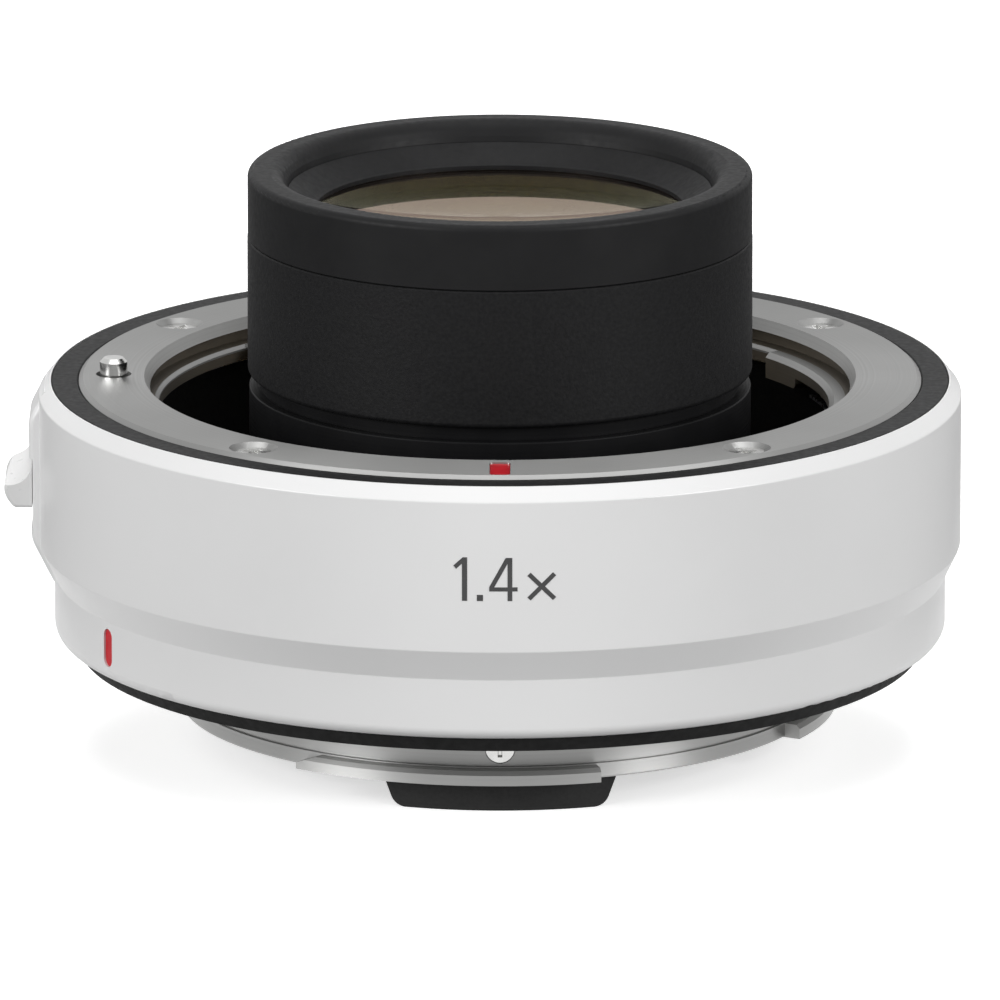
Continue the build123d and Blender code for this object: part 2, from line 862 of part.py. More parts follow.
with BuildPart() as lens_1:
    revolve(
        lens_section(lens_1_radius, cell_high, lens_1_low, lens_1_rise, lens_1_bulge),
        axis=Axis.Z,
    )

with BuildPart() as lens_2:
    revolve(
        lens_section(doublet_radius, lens_2_high, lens_2_low, doublet_bulge, lens_2_bulge),
        axis=Axis.Z,
    )

with BuildPart() as lens_3:
    revolve(
        lens_section(doublet_radius, lens_3_high, lens_3_low, -lens_2_bulge, lens_3_bulge),
        axis=Axis.Z,
    )

with BuildPart() as doublet_ring:
    revolve(
        ring(
            doublet_ring_bore,
            doublet_radius,
            doublet_ring_low,
            doublet_ring_high,
        ),
        axis=Axis.Z,
    )

front_ring_lip = 0.4
front_ring_height = 1.7
front_ring_slope_width = 0.2
front_ring_low = cell_high + fit_gap
with BuildPart() as front_retaining_ring:
    revolve(
        section(
            (lens_1_bore, front_ring_low),
            (front_cell_radius, front_ring_low),
            (front_cell_radius, front_ring_low + front_ring_height),
            (lens_1_bore + front_ring_slope_width, front_ring_low + front_ring_lip),
            (lens_1_bore, front_ring_low + front_ring_lip - edge_break),
        ),
        axis=Axis.Z,
    )

# Rear group: its cell stands on the carrier's shoulder, with the light stop on top
carrier_bore_wall = 0.4
shoulder_low = 1.2
shoulder_high = 2.5
shoulder_width = 1.7
rear_cell_drop = 1.4
rear_cell_wall = 2.7
triplet_drop = 4.5
triplet_seat_width = 0.8
lens_4_edge = 2.08
lens_5_edge = 2.68
lens_6_edge = 2.6
lens_4_bulge = 0.8
lens_5_hollow = 0.8
lens_6_bulge = 0.6
triplet_ring_wall = 0.9
triplet_ring_height = 1.0
carrier_bore = spigot_bore - carrier_bore_wall
rear_cell_radius = carrier_bore - fit_gap
shoulder_radius = rear_cell_radius - shoulder_width
triplet_radius = rear_cell_radius - rear_cell_wall
rear_cell_high = cell_low - rear_cell_drop
lens_4_high = rear_cell_high - triplet_drop
lens_4_low = lens_4_high - lens_4_edge
lens_5_high = lens_4_low - glass_play
lens_5_low = lens_5_high - lens_5_edge
lens_6_high = lens_5_low - glass_play
lens_6_low = lens_6_high - lens_6_edge
triplet_bore = triplet_radius - triplet_seat_width
triplet_seat = lens_6_low - past_rim(triplet_radius, lens_6_bulge, triplet_bore) - glass_play
triplet_ring_bore = triplet_radius - triplet_ring_wall
triplet_ring_low = (
    lens_4_high + past_rim(triplet_radius, lens_4_bulge, triplet_ring_bore) + glass_play
)

with BuildPart() as rear_group_cell:
    revolve(
        section(
            (triplet_bore, shoulder_high),
            (rear_cell_radius, shoulder_high),
            (rear_cell_radius, rear_cell_high),
            (triplet_radius + fit_gap, rear_cell_high),
            (triplet_radius + fit_gap, triplet_seat),
            (triplet_bore, triplet_seat),
        ),
        axis=Axis.Z,
    )

with BuildPart() as lens_4:
    revolve(
        lens_section(triplet_radius, lens_4_high, lens_4_low, lens_4_bulge, lens_5_hollow),
        axis=Axis.Z,
    )

with BuildPart() as lens_5:
    revolve(
        lens_section(triplet_radius, lens_5_high, lens_5_low, -lens_5_hollow, -lens_5_hollow),
        axis=Axis.Z,
    )

with BuildPart() as lens_6:
    revolve(
        lens_section(triplet_radius, lens_6_high, lens_6_low, lens_5_hollow, lens_6_bulge),
        axis=Axis.Z,
    )

with BuildPart() as triplet_ring:
    revolve(
        ring(
            triplet_ring_bore,
            triplet_radius,
            triplet_ring_low,
            triplet_ring_low + triplet_ring_height,
        ),
        axis=Axis.Z,
    )

stop_overlap = 0.8
stop_thickness = 0.4
stop_slope = 0.3
stop_opening = triplet_ring_bore - stop_overlap
with BuildPart() as light_stop:
    revolve(
        section(
            (stop_opening, rear_cell_high),
            (rear_cell_radius, rear_cell_high),
            (rear_cell_radius, rear_cell_high + stop_thickness),
            (stop_opening + stop_slope, rear_cell_high + stop_thickness),
            (stop_opening, rear_cell_high + edge_break),
        ),
        axis=Axis.Z,
    )

# Rear element in the carrier's camera-side end
lens_7_seat_width = 0.8
lens_7_edge = 2.5
lens_7_bulge = 0.9
lens_7_hollow = 0.6
rear_ring_wall = 1.0
rear_ring_height = 1.4
lens_7_radius = shoulder_radius + lens_7_seat_width
lens_7_high = shoulder_low - past_rim(lens_7_radius, lens_7_bulge, shoulder_radius) - glass_play
lens_7_low = lens_7_high - lens_7_edge
rear_ring_high = lens_7_low - fit_gap

with BuildPart() as lens_7:
    revolve(
        lens_section(lens_7_radius, lens_7_high, lens_7_low, lens_7_bulge, -lens_7_hollow),
        axis=Axis.Z,
    )

with BuildPart() as rear_retaining_ring:
    revolve(
        ring(
            lens_7_radius - rear_ring_wall,
            lens_7_radius,
            rear_ring_high - rear_ring_height,
            rear_ring_high,
        ),
        axis=Axis.Z,
    )

# Carrier: camera-side end, flange screwed on the web, collar, neck and spigot
carrier_end = 3.2
carrier_end_wall = 2.15
carrier_flange_width = 4.3
carrier_flange_thickness = 1.5
collar_drop = 0.7
collar_rounding = 0.12
neck_inset = 0.85
notch_margin_angle = 2.0
contact_count = 12
contact_spacing = 1.793
block_screw_inset = 2.4
block_screw_share = 6.96
block_screw_radius = 0.5
collar_high = flange_distance - collar_drop
collar_neck_radius = collar_radius - neck_inset
carrier_flange_top = web_top + carrier_flange_thickness
rear_bore = lens_7_radius + fit_gap
carrier_flange_radius = web_bore + carrier_flange_width
block_screw_circle = web_bore + block_screw_inset
contact_pitch = math.degrees(contact_spacing / contact_circle)
block_screw_turn = contact_pitch * block_screw_share
block_screw_angles = (contact_angle - block_screw_turn, contact_angle + block_screw_turn)

with BuildPart() as barrel_carrier:
    revolve(
        section(
            (rear_bore, -carrier_end),
            (rear_bore + carrier_end_wall, -carrier_end),
            (rear_bore + carrier_end_wall, rear_flange_thickness),
            (collar_radius, rear_flange_thickness),
            (collar_radius, web_top),
            (carrier_flange_radius, web_top),
            (carrier_flange_radius, carrier_flange_top),
            (collar_radius, carrier_flange_top),
            (collar_radius, collar_high),
            (collar_neck_radius, collar_high),
            (collar_neck_radius, tube_low),
            (spigot_radius, tube_low),
            (spigot_radius, tube_low + carrier_spigot_length),
            (spigot_bore, tube_low + carrier_spigot_length),
            (spigot_bore, cell_low),
            (carrier_bore, cell_low),
            (carrier_bore, shoulder_high),
            (shoulder_radius, shoulder_high),
            (shoulder_radius, shoulder_low),
            (rear_bore, shoulder_low),
            rounded=(((collar_radius, collar_high), collar_rounding),),
        ),
        axis=Axis.Z,
    )
    revolve(
        ring(
            collar_radius,
            carrier_flange_radius + cut_over,
            web_top - cut_over,
            carrier_flange_top + cut_over,
            contact_angle - flex_half_angle - notch_margin_angle,
        ),
        axis=Axis.Z,
        revolution_arc=2 * (flex_half_angle + notch_margin_angle),
        mode=Mode.SUBTRACT,
    )
    with Locations(*from_above(barrel_screw_circle, carrier_flange_top, barrel_screw_angles)):
        Hole(barrel_screw_radius + fit_gap, depth=carrier_flange_thickness)
    with Locations(*from_above(block_screw_circle, carrier_flange_top, block_screw_angles)):
        Hole(block_screw_radius + fit_gap, depth=carrier_flange_thickness)

barrel_screw_head = 1.1
barrel_screw_head_height = 0.8
barrel_screw_length = 3.9
with BuildPart() as barrel_screws:
    with Locations(
        *from_above(
            barrel_screw_circle,
            carrier_flange_top + barrel_screw_head_height,
            barrel_screw_angles,
        )
    ):
        add(
            cross_screw(
                barrel_screw_head,
                barrel_screw_head_height,
                barrel_screw_radius,
                barrel_screw_length,
                countersunk=False,
            )
        )

# Lens-side contacts: a block of twelve sprung pins on a base over the carrier's flange
contact_tip_drop = 7.4
contact_proud = 1.3
block_half_angle = contact_pitch * (contact_count + 3) / 2
block_depth = 4.2
block_bevel = 0.2
block_roof = 0.6
base_thickness = 1.1
pin_tip_radius = 0.45
pin_tip_rounding = 0.4
contact_collar_radius = 0.68
contact_collar_height = 0.6
contact_stem_radius = 0.3
contact_stem_share = 0.53
cavity_play = 0.1
contact_spring_radius = 0.5
contact_spring_wire = 0.08
contact_spring_turns = 4
block_screw_head = 0.95
block_screw_head_height = 0.7
block_screw_seat = 1.7
block_screw_depth = 0.2
contact_angles = [
    contact_angle + contact_pitch * (place - (contact_count - 1) / 2)
    for place in range(contact_count)
]
contact_tip = flange_distance - contact_tip_drop
block_top = contact_tip - contact_proud
base_top = carrier_flange_top + base_thickness
block_outer = web_bore + block_depth
cavity_radius = contact_collar_radius + cavity_play
contact_collar_high = block_top - block_roof - fit_gap
contact_collar_low = contact_collar_high - contact_collar_height
contact_stem_length = (contact_collar_low - base_top) * contact_stem_share
block_screw_head_low = base_top + block_screw_seat
block_screw_top = block_screw_head_low + block_screw_head_height
block_start = contact_angle - block_half_angle
block_span = 2 * block_half_angle

with BuildPart() as lens_contact_block:
    revolve(
        section(
            (web_bore, base_top),
            (block_outer, base_top),
            (block_outer, block_top - block_bevel),
            (block_outer - block_bevel, block_top),
            (web_bore + block_bevel, block_top),
            (web_bore, block_top - block_bevel),
            angle=block_start,
        ),
        axis=Axis.Z,
        revolution_arc=block_span,
    )
    with Locations(*from_above(contact_circle, block_top, contact_angles)):
        Hole(pin_tip_radius + fit_gap, depth=block_roof + cut_over)
    with Locations(*from_below(contact_circle, base_top, contact_angles)):
        Hole(cavity_radius, depth=block_top - block_roof - base_top)
    with Locations(*from_above(block_screw_circle, block_top, block_screw_angles)):
        CounterBoreHole(
            block_screw_radius + fit_gap,
            block_screw_head + fit_gap,
            block_top - block_screw_head_low,
            depth=block_top - base_top,
        )

with BuildPart() as contact_block_base:
    revolve(
        ring(web_bore, block_outer, carrier_flange_top, base_top, block_start),
        axis=Axis.Z,
        revolution_arc=block_span,
    )
    with Locations(*from_above(block_screw_circle, base_top, block_screw_angles)):
        Hole(block_screw_radius + fit_gap, depth=base_thickness)

with BuildPart() as contact_pin:
    revolve(
        section(
            (0, contact_collar_low - contact_stem_length),
            (contact_stem_radius, contact_collar_low - contact_stem_length),
            (contact_stem_radius, contact_collar_low),
            (contact_collar_radius, contact_collar_low),
            (contact_collar_radius, contact_collar_high),
            (pin_tip_radius, contact_collar_high),
            (pin_tip_radius, contact_tip),
            (0, contact_tip),
            rounded=(((pin_tip_radius, contact_tip), pin_tip_rounding),),
        ),
        axis=Axis.Z,
    )

with BuildPart() as lens_contact_pins:
    with Locations(*from_above(contact_circle, 0, contact_angles)):
        add(contact_pin.part)

contact_spring = coil(
    contact_spring_radius,
    contact_spring_wire,
    base_top + fit_gap,
    contact_collar_low - fit_gap,
    contact_spring_turns,
)
with BuildPart() as lens_contact_springs:
    with Locations(*from_above(contact_circle, 0, contact_angles)):
        add(contact_spring)

with BuildPart() as contact_block_screws:
    with Locations(*from_above(block_screw_circle, block_screw_top, block_screw_angles)):
        add(
            cross_screw(
                block_screw_head,
                block_screw_head_height,
                block_screw_radius,
                block_screw_top - web_top - block_screw_depth,
                countersunk=False,
            )
        )

# Camera-side bayonet ring: flange, pilot with a groove, and three lugs
pilot_end = 5.6
pilot_bevel = 0.15
pilot_shoulder = 1.3
groove_middle = 4.31
groove_depth = 0.2
groove_half_width = 0.11
groove_floor_half_width = 0.07
rear_screw_head_radius = 1.65
rear_screw_sink = 0.05
rear_screw_length = 3.0
lock_hole_radius = 1.35
lug_height = 1.1
lug_bevel = 0.3
lug_root_overlap = 0.4
lug_ramp_length = 1.6
lug_ramp_drop = 0.6
lug_spans = ((-126.7, 53.9), (-28.0, 53.0), (97.0, 54.0))
lug_high = lug_height - pilot_end
rear_sink_radius = rear_screw_head_radius + rear_screw_sink + fit_gap
rear_head_height = rear_screw_head_radius - rear_screw_radius

# Screws that hold the baffle through the pilot wall
baffle_screw_angles = (front_angle, front_angle + 120.0, front_angle + 240.0)
baffle_screw_drop = 3.0
baffle_screw_head = 1.1
baffle_screw_head_height = 0.6
baffle_screw_inset = 0.08
baffle_screw_radius = 0.55
baffle_screw_length = 2.5
baffle_head_radius = pilot_radius - baffle_screw_inset

with BuildPart() as camera_lugs:
    for lug_start, lug_span in lug_spans:
        revolve(
            section(
                (pilot_radius - lug_root_overlap, -pilot_end),
                (lug_radius, -pilot_end),
                (lug_radius, lug_high - lug_bevel),
                (lug_radius - lug_bevel, lug_high),
                (pilot_radius - lug_root_overlap, lug_high),
                angle=lug_start,
            ),
            axis=Axis.Z,
            revolution_arc=lug_span,
        )
    with BuildSketch(facing_out(pilot_radius - lug_root_overlap, lug_spans[0][0], lug_high)):
        with BuildLine():
            Polyline(
                (-cut_over, cut_over),
                (-cut_over, -lug_ramp_drop),
                (0, -lug_ramp_drop),
                (lug_ramp_length, 0),
                (lug_ramp_length, cut_over),
                close=True,
            )
        make_face()
    extrude(amount=lug_radius - pilot_radius + 2 * lug_root_overlap, mode=Mode.SUBTRACT)

with BuildPart() as rear_bayonet_ring:
    revolve(
        section(
            (pilot_bore, -pilot_end),
            (pilot_radius - pilot_bevel, -pilot_end),
            (pilot_radius, -pilot_end + pilot_bevel),
            (pilot_radius, -groove_middle - groove_half_width),
            (pilot_radius - groove_depth, -groove_middle - groove_floor_half_width),
            (pilot_radius - groove_depth, -groove_middle + groove_floor_half_width),
            (pilot_radius, -groove_middle + groove_half_width),
            (pilot_radius, -pilot_shoulder),
            (pilot_step_radius, -pilot_shoulder),
            (pilot_step_radius, 0),
            (rear_flange_radius, 0),
            (rear_flange_radius, rear_flange_thickness),
            (pilot_bore, rear_flange_thickness),
        ),
        axis=Axis.Z,
    )
    add(camera_lugs.part)
    with Locations(*from_below(rear_screw_circle, 0, rear_screw_angles)):
        CounterSinkHole(
            rear_screw_radius + fit_gap,
            rear_sink_radius,
            depth=rear_flange_thickness,
            counter_sink_angle=square_cone,
        )
    with Locations(around(pin_circle, lever_angle, 0)):
        Hole(lock_hole_radius)
    with Locations(
        *[
            facing_out(pilot_radius, angle, -baffle_screw_drop).location
            for angle in baffle_screw_angles
        ]
    ):
        CounterBoreHole(
            baffle_screw_radius + fit_gap,
            baffle_screw_head + fit_gap,
            baffle_screw_inset + baffle_screw_head_height + fit_gap,
            depth=pilot_radius - pilot_bore + free_gap,
        )

with BuildPart() as rear_mount_screws:
    with Locations(*from_below(rear_screw_circle, rear_screw_sink, rear_screw_angles)):
        add(
            cross_screw(
                rear_screw_head_radius,
                rear_head_height,
                rear_screw_radius,
                rear_screw_length,
            )
        )

# Rubber gasket between the bayonet ring's flange and the shell, with a lip towards the camera
gasket_gap = 0.15
gasket_shell_gap = 0.1
gasket_low = 0.1
gasket_lip_depth = 1.07
gasket_lip_inner = 0.55
gasket_lip_width = 0.5
gasket_heel = 0.3
gasket_bore = rear_flange_radius + gasket_gap
gasket_radius = barrel_bore - gasket_shell_gap
lip_start = gasket_bore + gasket_lip_inner

with BuildPart() as weather_gasket:
    revolve(
        section(
            (gasket_bore, rear_flange_thickness),
            (gasket_bore, gasket_low + gasket_heel),
            (gasket_bore + gasket_gap, gasket_low),
            (lip_start, -gasket_lip_depth),
            (lip_start + gasket_lip_width, -gasket_lip_depth),
            (gasket_radius, gasket_low),
            (gasket_radius, rear_flange_thickness),
        ),
        axis=Axis.Z,
    )

# Black baffle inside the pilot: skirt, plate and the tab that guards the rear element
baffle_wall = 1.3
baffle_play = 0.1
baffle_end = 5.4
baffle_high = 1.2
baffle_plate_high = 2.2
baffle_plate_gap = 0.3
block_room_angle = 0.5
tab_width = 16.0
tab_flare_share = 0.378
tab_rounding_share = 0.4
flex_slot_room = 0.25
flex_thickness = 0.15
flex_gap = 0.3
flex_inner = collar_radius + flex_gap
flex_outer = flex_inner + flex_thickness
baffle_radius = pilot_bore - baffle_play
baffle_bore = baffle_radius - baffle_wall
baffle_plate_bore = rear_bore + carrier_end_wall + baffle_plate_gap
camera_block_half_angle = block_half_angle - block_room_angle
tab_height = foot_depth - baffle_end + baffle_play
tab_rounding = tab_height * tab_rounding_share
tab_foot = tab_width / 2
tab_root = tab_foot + tab_height * tab_flare_share
camera_screw_share = 6.56
camera_screw_radius = 0.5
camera_screw_turn = contact_pitch * camera_screw_share
camera_screw_angles = (contact_angle - camera_screw_turn, contact_angle + camera_screw_turn)

with BuildPart() as baffle_tab:
    with BuildSketch(Plane.XZ) as tab_outline:
        with BuildLine():
            Polyline(
                (-tab_foot, -foot_depth),
                (tab_foot, -foot_depth),
                (tab_root, tab_height - foot_depth),
                (-tab_root, tab_height - foot_depth),
                close=True,
            )
        make_face()
        fillet(tab_outline.vertices().group_by(Axis.Y)[0], tab_rounding)
    extrude(amount=baffle_radius + cut_over)
    revolve(
        ring(baffle_bore, baffle_radius, -foot_depth - cut_over, -baffle_end + cut_over),
        axis=Axis.Z,
        mode=Mode.INTERSECT,
    )

with BuildPart() as rear_baffle:
    revolve(ring(baffle_bore, baffle_radius, -baffle_end, -baffle_high), axis=Axis.Z)
    revolve(
        ring(
            baffle_bore - cut_over,
            baffle_radius + cut_over,
            -baffle_end - cut_over,
            -carrier_end,
            block_start,
        ),
        axis=Axis.Z,
        revolution_arc=block_span,
        mode=Mode.SUBTRACT,
    )
    revolve(
        ring(baffle_plate_bore, baffle_bore + baffle_play, -carrier_end, -baffle_plate_high),
        axis=Axis.Z,
    )
    revolve(
        ring(
            flex_inner - flex_slot_room,
            flex_outer + flex_slot_room,
            -carrier_end - cut_over,
            -baffle_plate_high + cut_over,
            contact_angle - flex_half_angle - notch_margin_angle,
        ),
        axis=Axis.Z,
        revolution_arc=2 * (flex_half_angle + notch_margin_angle),
        mode=Mode.SUBTRACT,
    )
    add(baffle_tab.part)
    with Locations(
        *[
            facing_out(pilot_radius, angle, -baffle_screw_drop).location
            for angle in baffle_screw_angles
        ]
    ):
        Hole(baffle_screw_radius + fit_gap, depth=baffle_screw_inset + baffle_screw_length + fit_gap)
    with Locations(*from_below(contact_circle, -carrier_end, camera_screw_angles)):
        Hole(camera_screw_radius + fit_gap, depth=carrier_end - baffle_plate_high)

baffle_screw = cross_screw(
    baffle_screw_head,
    baffle_screw_head_height,
    baffle_screw_radius,
    baffle_screw_length,
    countersunk=False,
)
with BuildPart() as baffle_screws:
    with Locations(
        *[
            facing_out(baffle_head_radius, angle, -baffle_screw_drop).location
            for angle in baffle_screw_angles
        ]
    ):
        add(baffle_screw)

# Camera-side contacts: a block with twelve flat pads, under the baffle's plate
camera_block_bevel = 0.25
pad_radius = 0.7
pad_play = 0.02
pad_inset = 0.35
pad_thickness = 0.95
camera_screw_head = 0.95
camera_screw_head_height = 0.7
camera_screw_inset = 0.4
camera_block_bore = flex_inner - pad_play - flex_thickness
camera_block_radius = baffle_radius - fit_gap
camera_block_start = contact_angle - camera_block_half_angle
pad_low = -foot_depth + pad_inset
camera_screw_low = -foot_depth + camera_screw_inset

with BuildPart() as camera_contact_block:
    revolve(
        section(
            (camera_block_bore, -carrier_end),
            (camera_block_bore, -foot_depth + camera_block_bevel),
            (camera_block_bore + camera_block_bevel, -foot_depth),
            (camera_block_radius - camera_block_bevel, -foot_depth),
            (camera_block_radius, -foot_depth + camera_block_bevel),
            (camera_block_radius, -carrier_end),
            angle=camera_block_start,
        ),
        axis=Axis.Z,
        revolution_arc=2 * camera_block_half_angle,
    )
    with Locations(*from_below(contact_circle, -foot_depth, contact_angles)):
        Hole(pad_radius + pad_play, depth=pad_inset + pad_thickness)
    with Locations(*from_below(contact_circle, -foot_depth, camera_screw_angles)):
        CounterBoreHole(
            camera_screw_radius + fit_gap,
            camera_screw_head + fit_gap,
            camera_screw_inset + camera_screw_head_height,
            depth=foot_depth - carrier_end,
        )

with BuildPart() as camera_contacts:
    with Locations(*from_below(contact_circle, pad_low, contact_angles)):
        Cylinder(pad_radius, pad_thickness, align=(Align.CENTER, Align.CENTER, Align.MAX))

with BuildPart() as camera_block_screws:
    with Locations(*from_below(contact_circle, camera_screw_low, camera_screw_angles)):
        add(
            cross_screw(
                camera_screw_head,
                camera_screw_head_height,
                camera_screw_radius,
                foot_depth - baffle_plate_high - camera_screw_inset - fit_gap,
                countersunk=False,
            )
        )

# Circuit board in the ring space between the shield and the chassis wall
chip_height = 0.9
chip_width = 2.3
chip_length = 3.2
large_chip_length = 5.0
small_chip_width = 1.2
small_chip_length = 1.8
chip_turn = 13.0
small_chip_turns = (34.0, 40.0, 47.0)
chip_angles = (contact_angle - chip_turn, contact_angle + chip_turn)
small_chip_angles = [contact_angle + turn for turn in small_chip_turns]
small_chip_angles += [contact_angle - turn for turn in small_chip_turns]
board_start = contact_angle - board_half_angle

with BuildPart() as circuit_board:
    revolve(
        ring(board_inner, board_outer, board_low, board_top, board_start),
        axis=Axis.Z,
        revolution_arc=2 * board_half_angle,
    )
    with Locations(*from_above(board_middle, board_top, board_post_angles)):
        Hole(board_screw_radius + fit_gap, depth=board_thickness)

chip_rows = (
    (chip_width, large_chip_length, chip_height, (contact_angle,)),
    (chip_width, chip_length, chip_height, chip_angles),
    (small_chip_width, small_chip_length, chip_height / 2, small_chip_angles),
)

with BuildPart() as board_chips:
    for width, length, height, angles in chip_rows:
        with Locations(*from_above(board_middle, board_top, angles)):
            Box(width, length, height, align=(Align.CENTER, Align.CENTER, Align.MIN))

with BuildPart() as board_screws:
    with Locations(*from_above(board_middle, board_screw_top, board_post_angles)):
        add(
            cross_screw(
                board_screw_head,
                board_screw_head_height,
                board_screw_radius,
                board_screw_length,
                countersunk=False,
            )
        )

# Flexible circuit from the contact blocks to the board, in three curved and flat bands
flex_start = contact_angle - flex_half_angle
flex_end_radius = board_inner + flex_thickness
with BuildPart() as main_flex:
    revolve(
        section(
            (flex_inner, -carrier_end),
            (flex_outer, -carrier_end),
            (flex_outer, carrier_flange_top - flex_thickness),
            (board_inner, carrier_flange_top - flex_thickness),
            (flex_end_radius, carrier_flange_top - flex_thickness),
            (flex_end_radius, board_low),
            (board_inner, board_low),
            (board_inner, carrier_flange_top),
            (flex_inner, carrier_flange_top),
            angle=flex_start,
        ),
        axis=Axis.Z,
        revolution_arc=2 * flex_half_angle,
    )

# Labels and files, one for each piece
barrel_shell.part.label = "barrel_shell"
export_step(barrel_shell.part, "parts/barrel_shell.step")

camera_index_mark.part.label = "camera_index_mark"
export_step(camera_index_mark.part, "parts/camera_index_mark.step")

front_bezel.part.label = "front_bezel"
export_step(front_bezel.part, "parts/front_bezel.step")

front_mount_plate.part.label = "front_mount_plate"
export_step(front_mount_plate.part, "parts/front_mount_plate.step")

lens_index_mark.part.label = "lens_index_mark"
export_step(lens_index_mark.part, "parts/lens_index_mark.step")

front_mount_screws.part.label = "front_mount_screws"
export_step(front_mount_screws.part, "parts/front_mount_screws.step")

throat_shield.part.label = "throat_shield"
export_step(throat_shield.part, "parts/throat_shield.step")

bayonet_leaf_spring.part.label = "bayonet_leaf_spring"
export_step(bayonet_leaf_spring.part, "parts/bayonet_leaf_spring.step")

release_slide.part.label = "release_slide"
export_step(release_slide.part, "parts/release_slide.step")

release_lever.part.label = "release_lever"
export_step(release_lever.part, "parts/release_lever.step")

lever_screw.part.label = "lever_screw"
export_step(lever_screw.part, "parts/lever_screw.step")

lock_pin.part.label = "lock_pin"
export_step(lock_pin.part, "parts/lock_pin.step")

lock_pin_spring.part.label = "lock_pin_spring"
export_step(lock_pin_spring.part, "parts/lock_pin_spring.step")

inner_chassis.part.label = "inner_chassis"
export_step(inner_chassis.part, "parts/inner_chassis.step")

front_barrel_cap.part.label = "front_barrel_cap"
export_step(front_barrel_cap.part, "parts/front_barrel_cap.step")

front_lens_tube.part.label = "front_lens_tube"
export_step(front_lens_tube.part, "parts/front_lens_tube.step")

front_group_cell.part.label = "front_group_cell"
export_step(front_group_cell.part, "parts/front_group_cell.step")

lens_1.part.label = "lens_1"
export_step(lens_1.part, "parts/lens_1.step")

lens_2.part.label = "lens_2"
export_step(lens_2.part, "parts/lens_2.step")

lens_3.part.label = "lens_3"
export_step(lens_3.part, "parts/lens_3.step")

doublet_ring.part.label = "doublet_ring"
export_step(doublet_ring.part, "parts/doublet_ring.step")

front_retaining_ring.part.label = "front_retaining_ring"
export_step(front_retaining_ring.part, "parts/front_retaining_ring.step")

rear_group_cell.part.label = "rear_group_cell"
export_step(rear_group_cell.part, "parts/rear_group_cell.step")

lens_4.part.label = "lens_4"
export_step(lens_4.part, "parts/lens_4.step")

lens_5.part.label = "lens_5"
export_step(lens_5.part, "parts/lens_5.step")

lens_6.part.label = "lens_6"
export_step(lens_6.part, "parts/lens_6.step")

triplet_ring.part.label = "triplet_ring"
export_step(triplet_ring.part, "parts/triplet_ring.step")

light_stop.part.label = "light_stop"
export_step(light_stop.part, "parts/light_stop.step")

lens_7.part.label = "lens_7"
export_step(lens_7.part, "parts/lens_7.step")

rear_retaining_ring.part.label = "rear_retaining_ring"
export_step(rear_retaining_ring.part, "parts/rear_retaining_ring.step")

barrel_carrier.part.label = "barrel_carrier"
export_step(barrel_carrier.part, "parts/barrel_carrier.step")

barrel_screws.part.label = "barrel_screws"
export_step(barrel_screws.part, "parts/barrel_screws.step")

lens_contact_block.part.label = "lens_contact_block"
export_step(lens_contact_block.part, "parts/lens_contact_block.step")

contact_block_base.part.label = "contact_block_base"
export_step(contact_block_base.part, "parts/contact_block_base.step")

lens_contact_pins.part.label = "lens_contact_pins"
export_step(lens_contact_pins.part, "parts/lens_contact_pins.step")

lens_contact_springs.part.label = "lens_contact_springs"
export_step(lens_contact_springs.part, "parts/lens_contact_springs.step")

contact_block_screws.part.label = "contact_block_screws"
export_step(contact_block_screws.part, "parts/contact_block_screws.step")

rear_bayonet_ring.part.label = "rear_bayonet_ring"
export_step(rear_bayonet_ring.part, "parts/rear_bayonet_ring.step")

rear_mount_screws.part.label = "rear_mount_screws"
export_step(rear_mount_screws.part, "parts/rear_mount_screws.step")

weather_gasket.part.label = "weather_gasket"
export_step(weather_gasket.part, "parts/weather_gasket.step")

rear_baffle.part.label = "rear_baffle"
export_step(rear_baffle.part, "parts/rear_baffle.step")

baffle_screws.part.label = "baffle_screws"
export_step(baffle_screws.part, "parts/baffle_screws.step")

camera_contact_block.part.label = "camera_contact_block"
export_step(camera_contact_block.part, "parts/camera_contact_block.step")

camera_contacts.part.label = "camera_contacts"
export_step(camera_contacts.part, "parts/camera_contacts.step")

camera_block_screws.part.label = "camera_block_screws"
export_step(camera_block_screws.part, "parts/camera_block_screws.step")

circuit_board.part.label = "circuit_board"
export_step(circuit_board.part, "parts/circuit_board.step")

board_chips.part.label = "board_chips"
export_step(board_chips.part, "parts/board_chips.step")

board_screws.part.label = "board_screws"
export_step(board_screws.part, "parts/board_screws.step")

main_flex.part.label = "main_flex"
export_step(main_flex.part, "parts/main_flex.step")
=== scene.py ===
# %% [markdown]
# # A white 1.4x teleconverter
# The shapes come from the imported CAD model: every ring, screw and lens is already there, in metres, with
# the optical axis on Z. What is left to do here is what makes it look real: paint, turned steel, coated
# glass, the printed number, the light and the camera. So this lesson is mostly about materials.

# %% Load the model
import json
import math

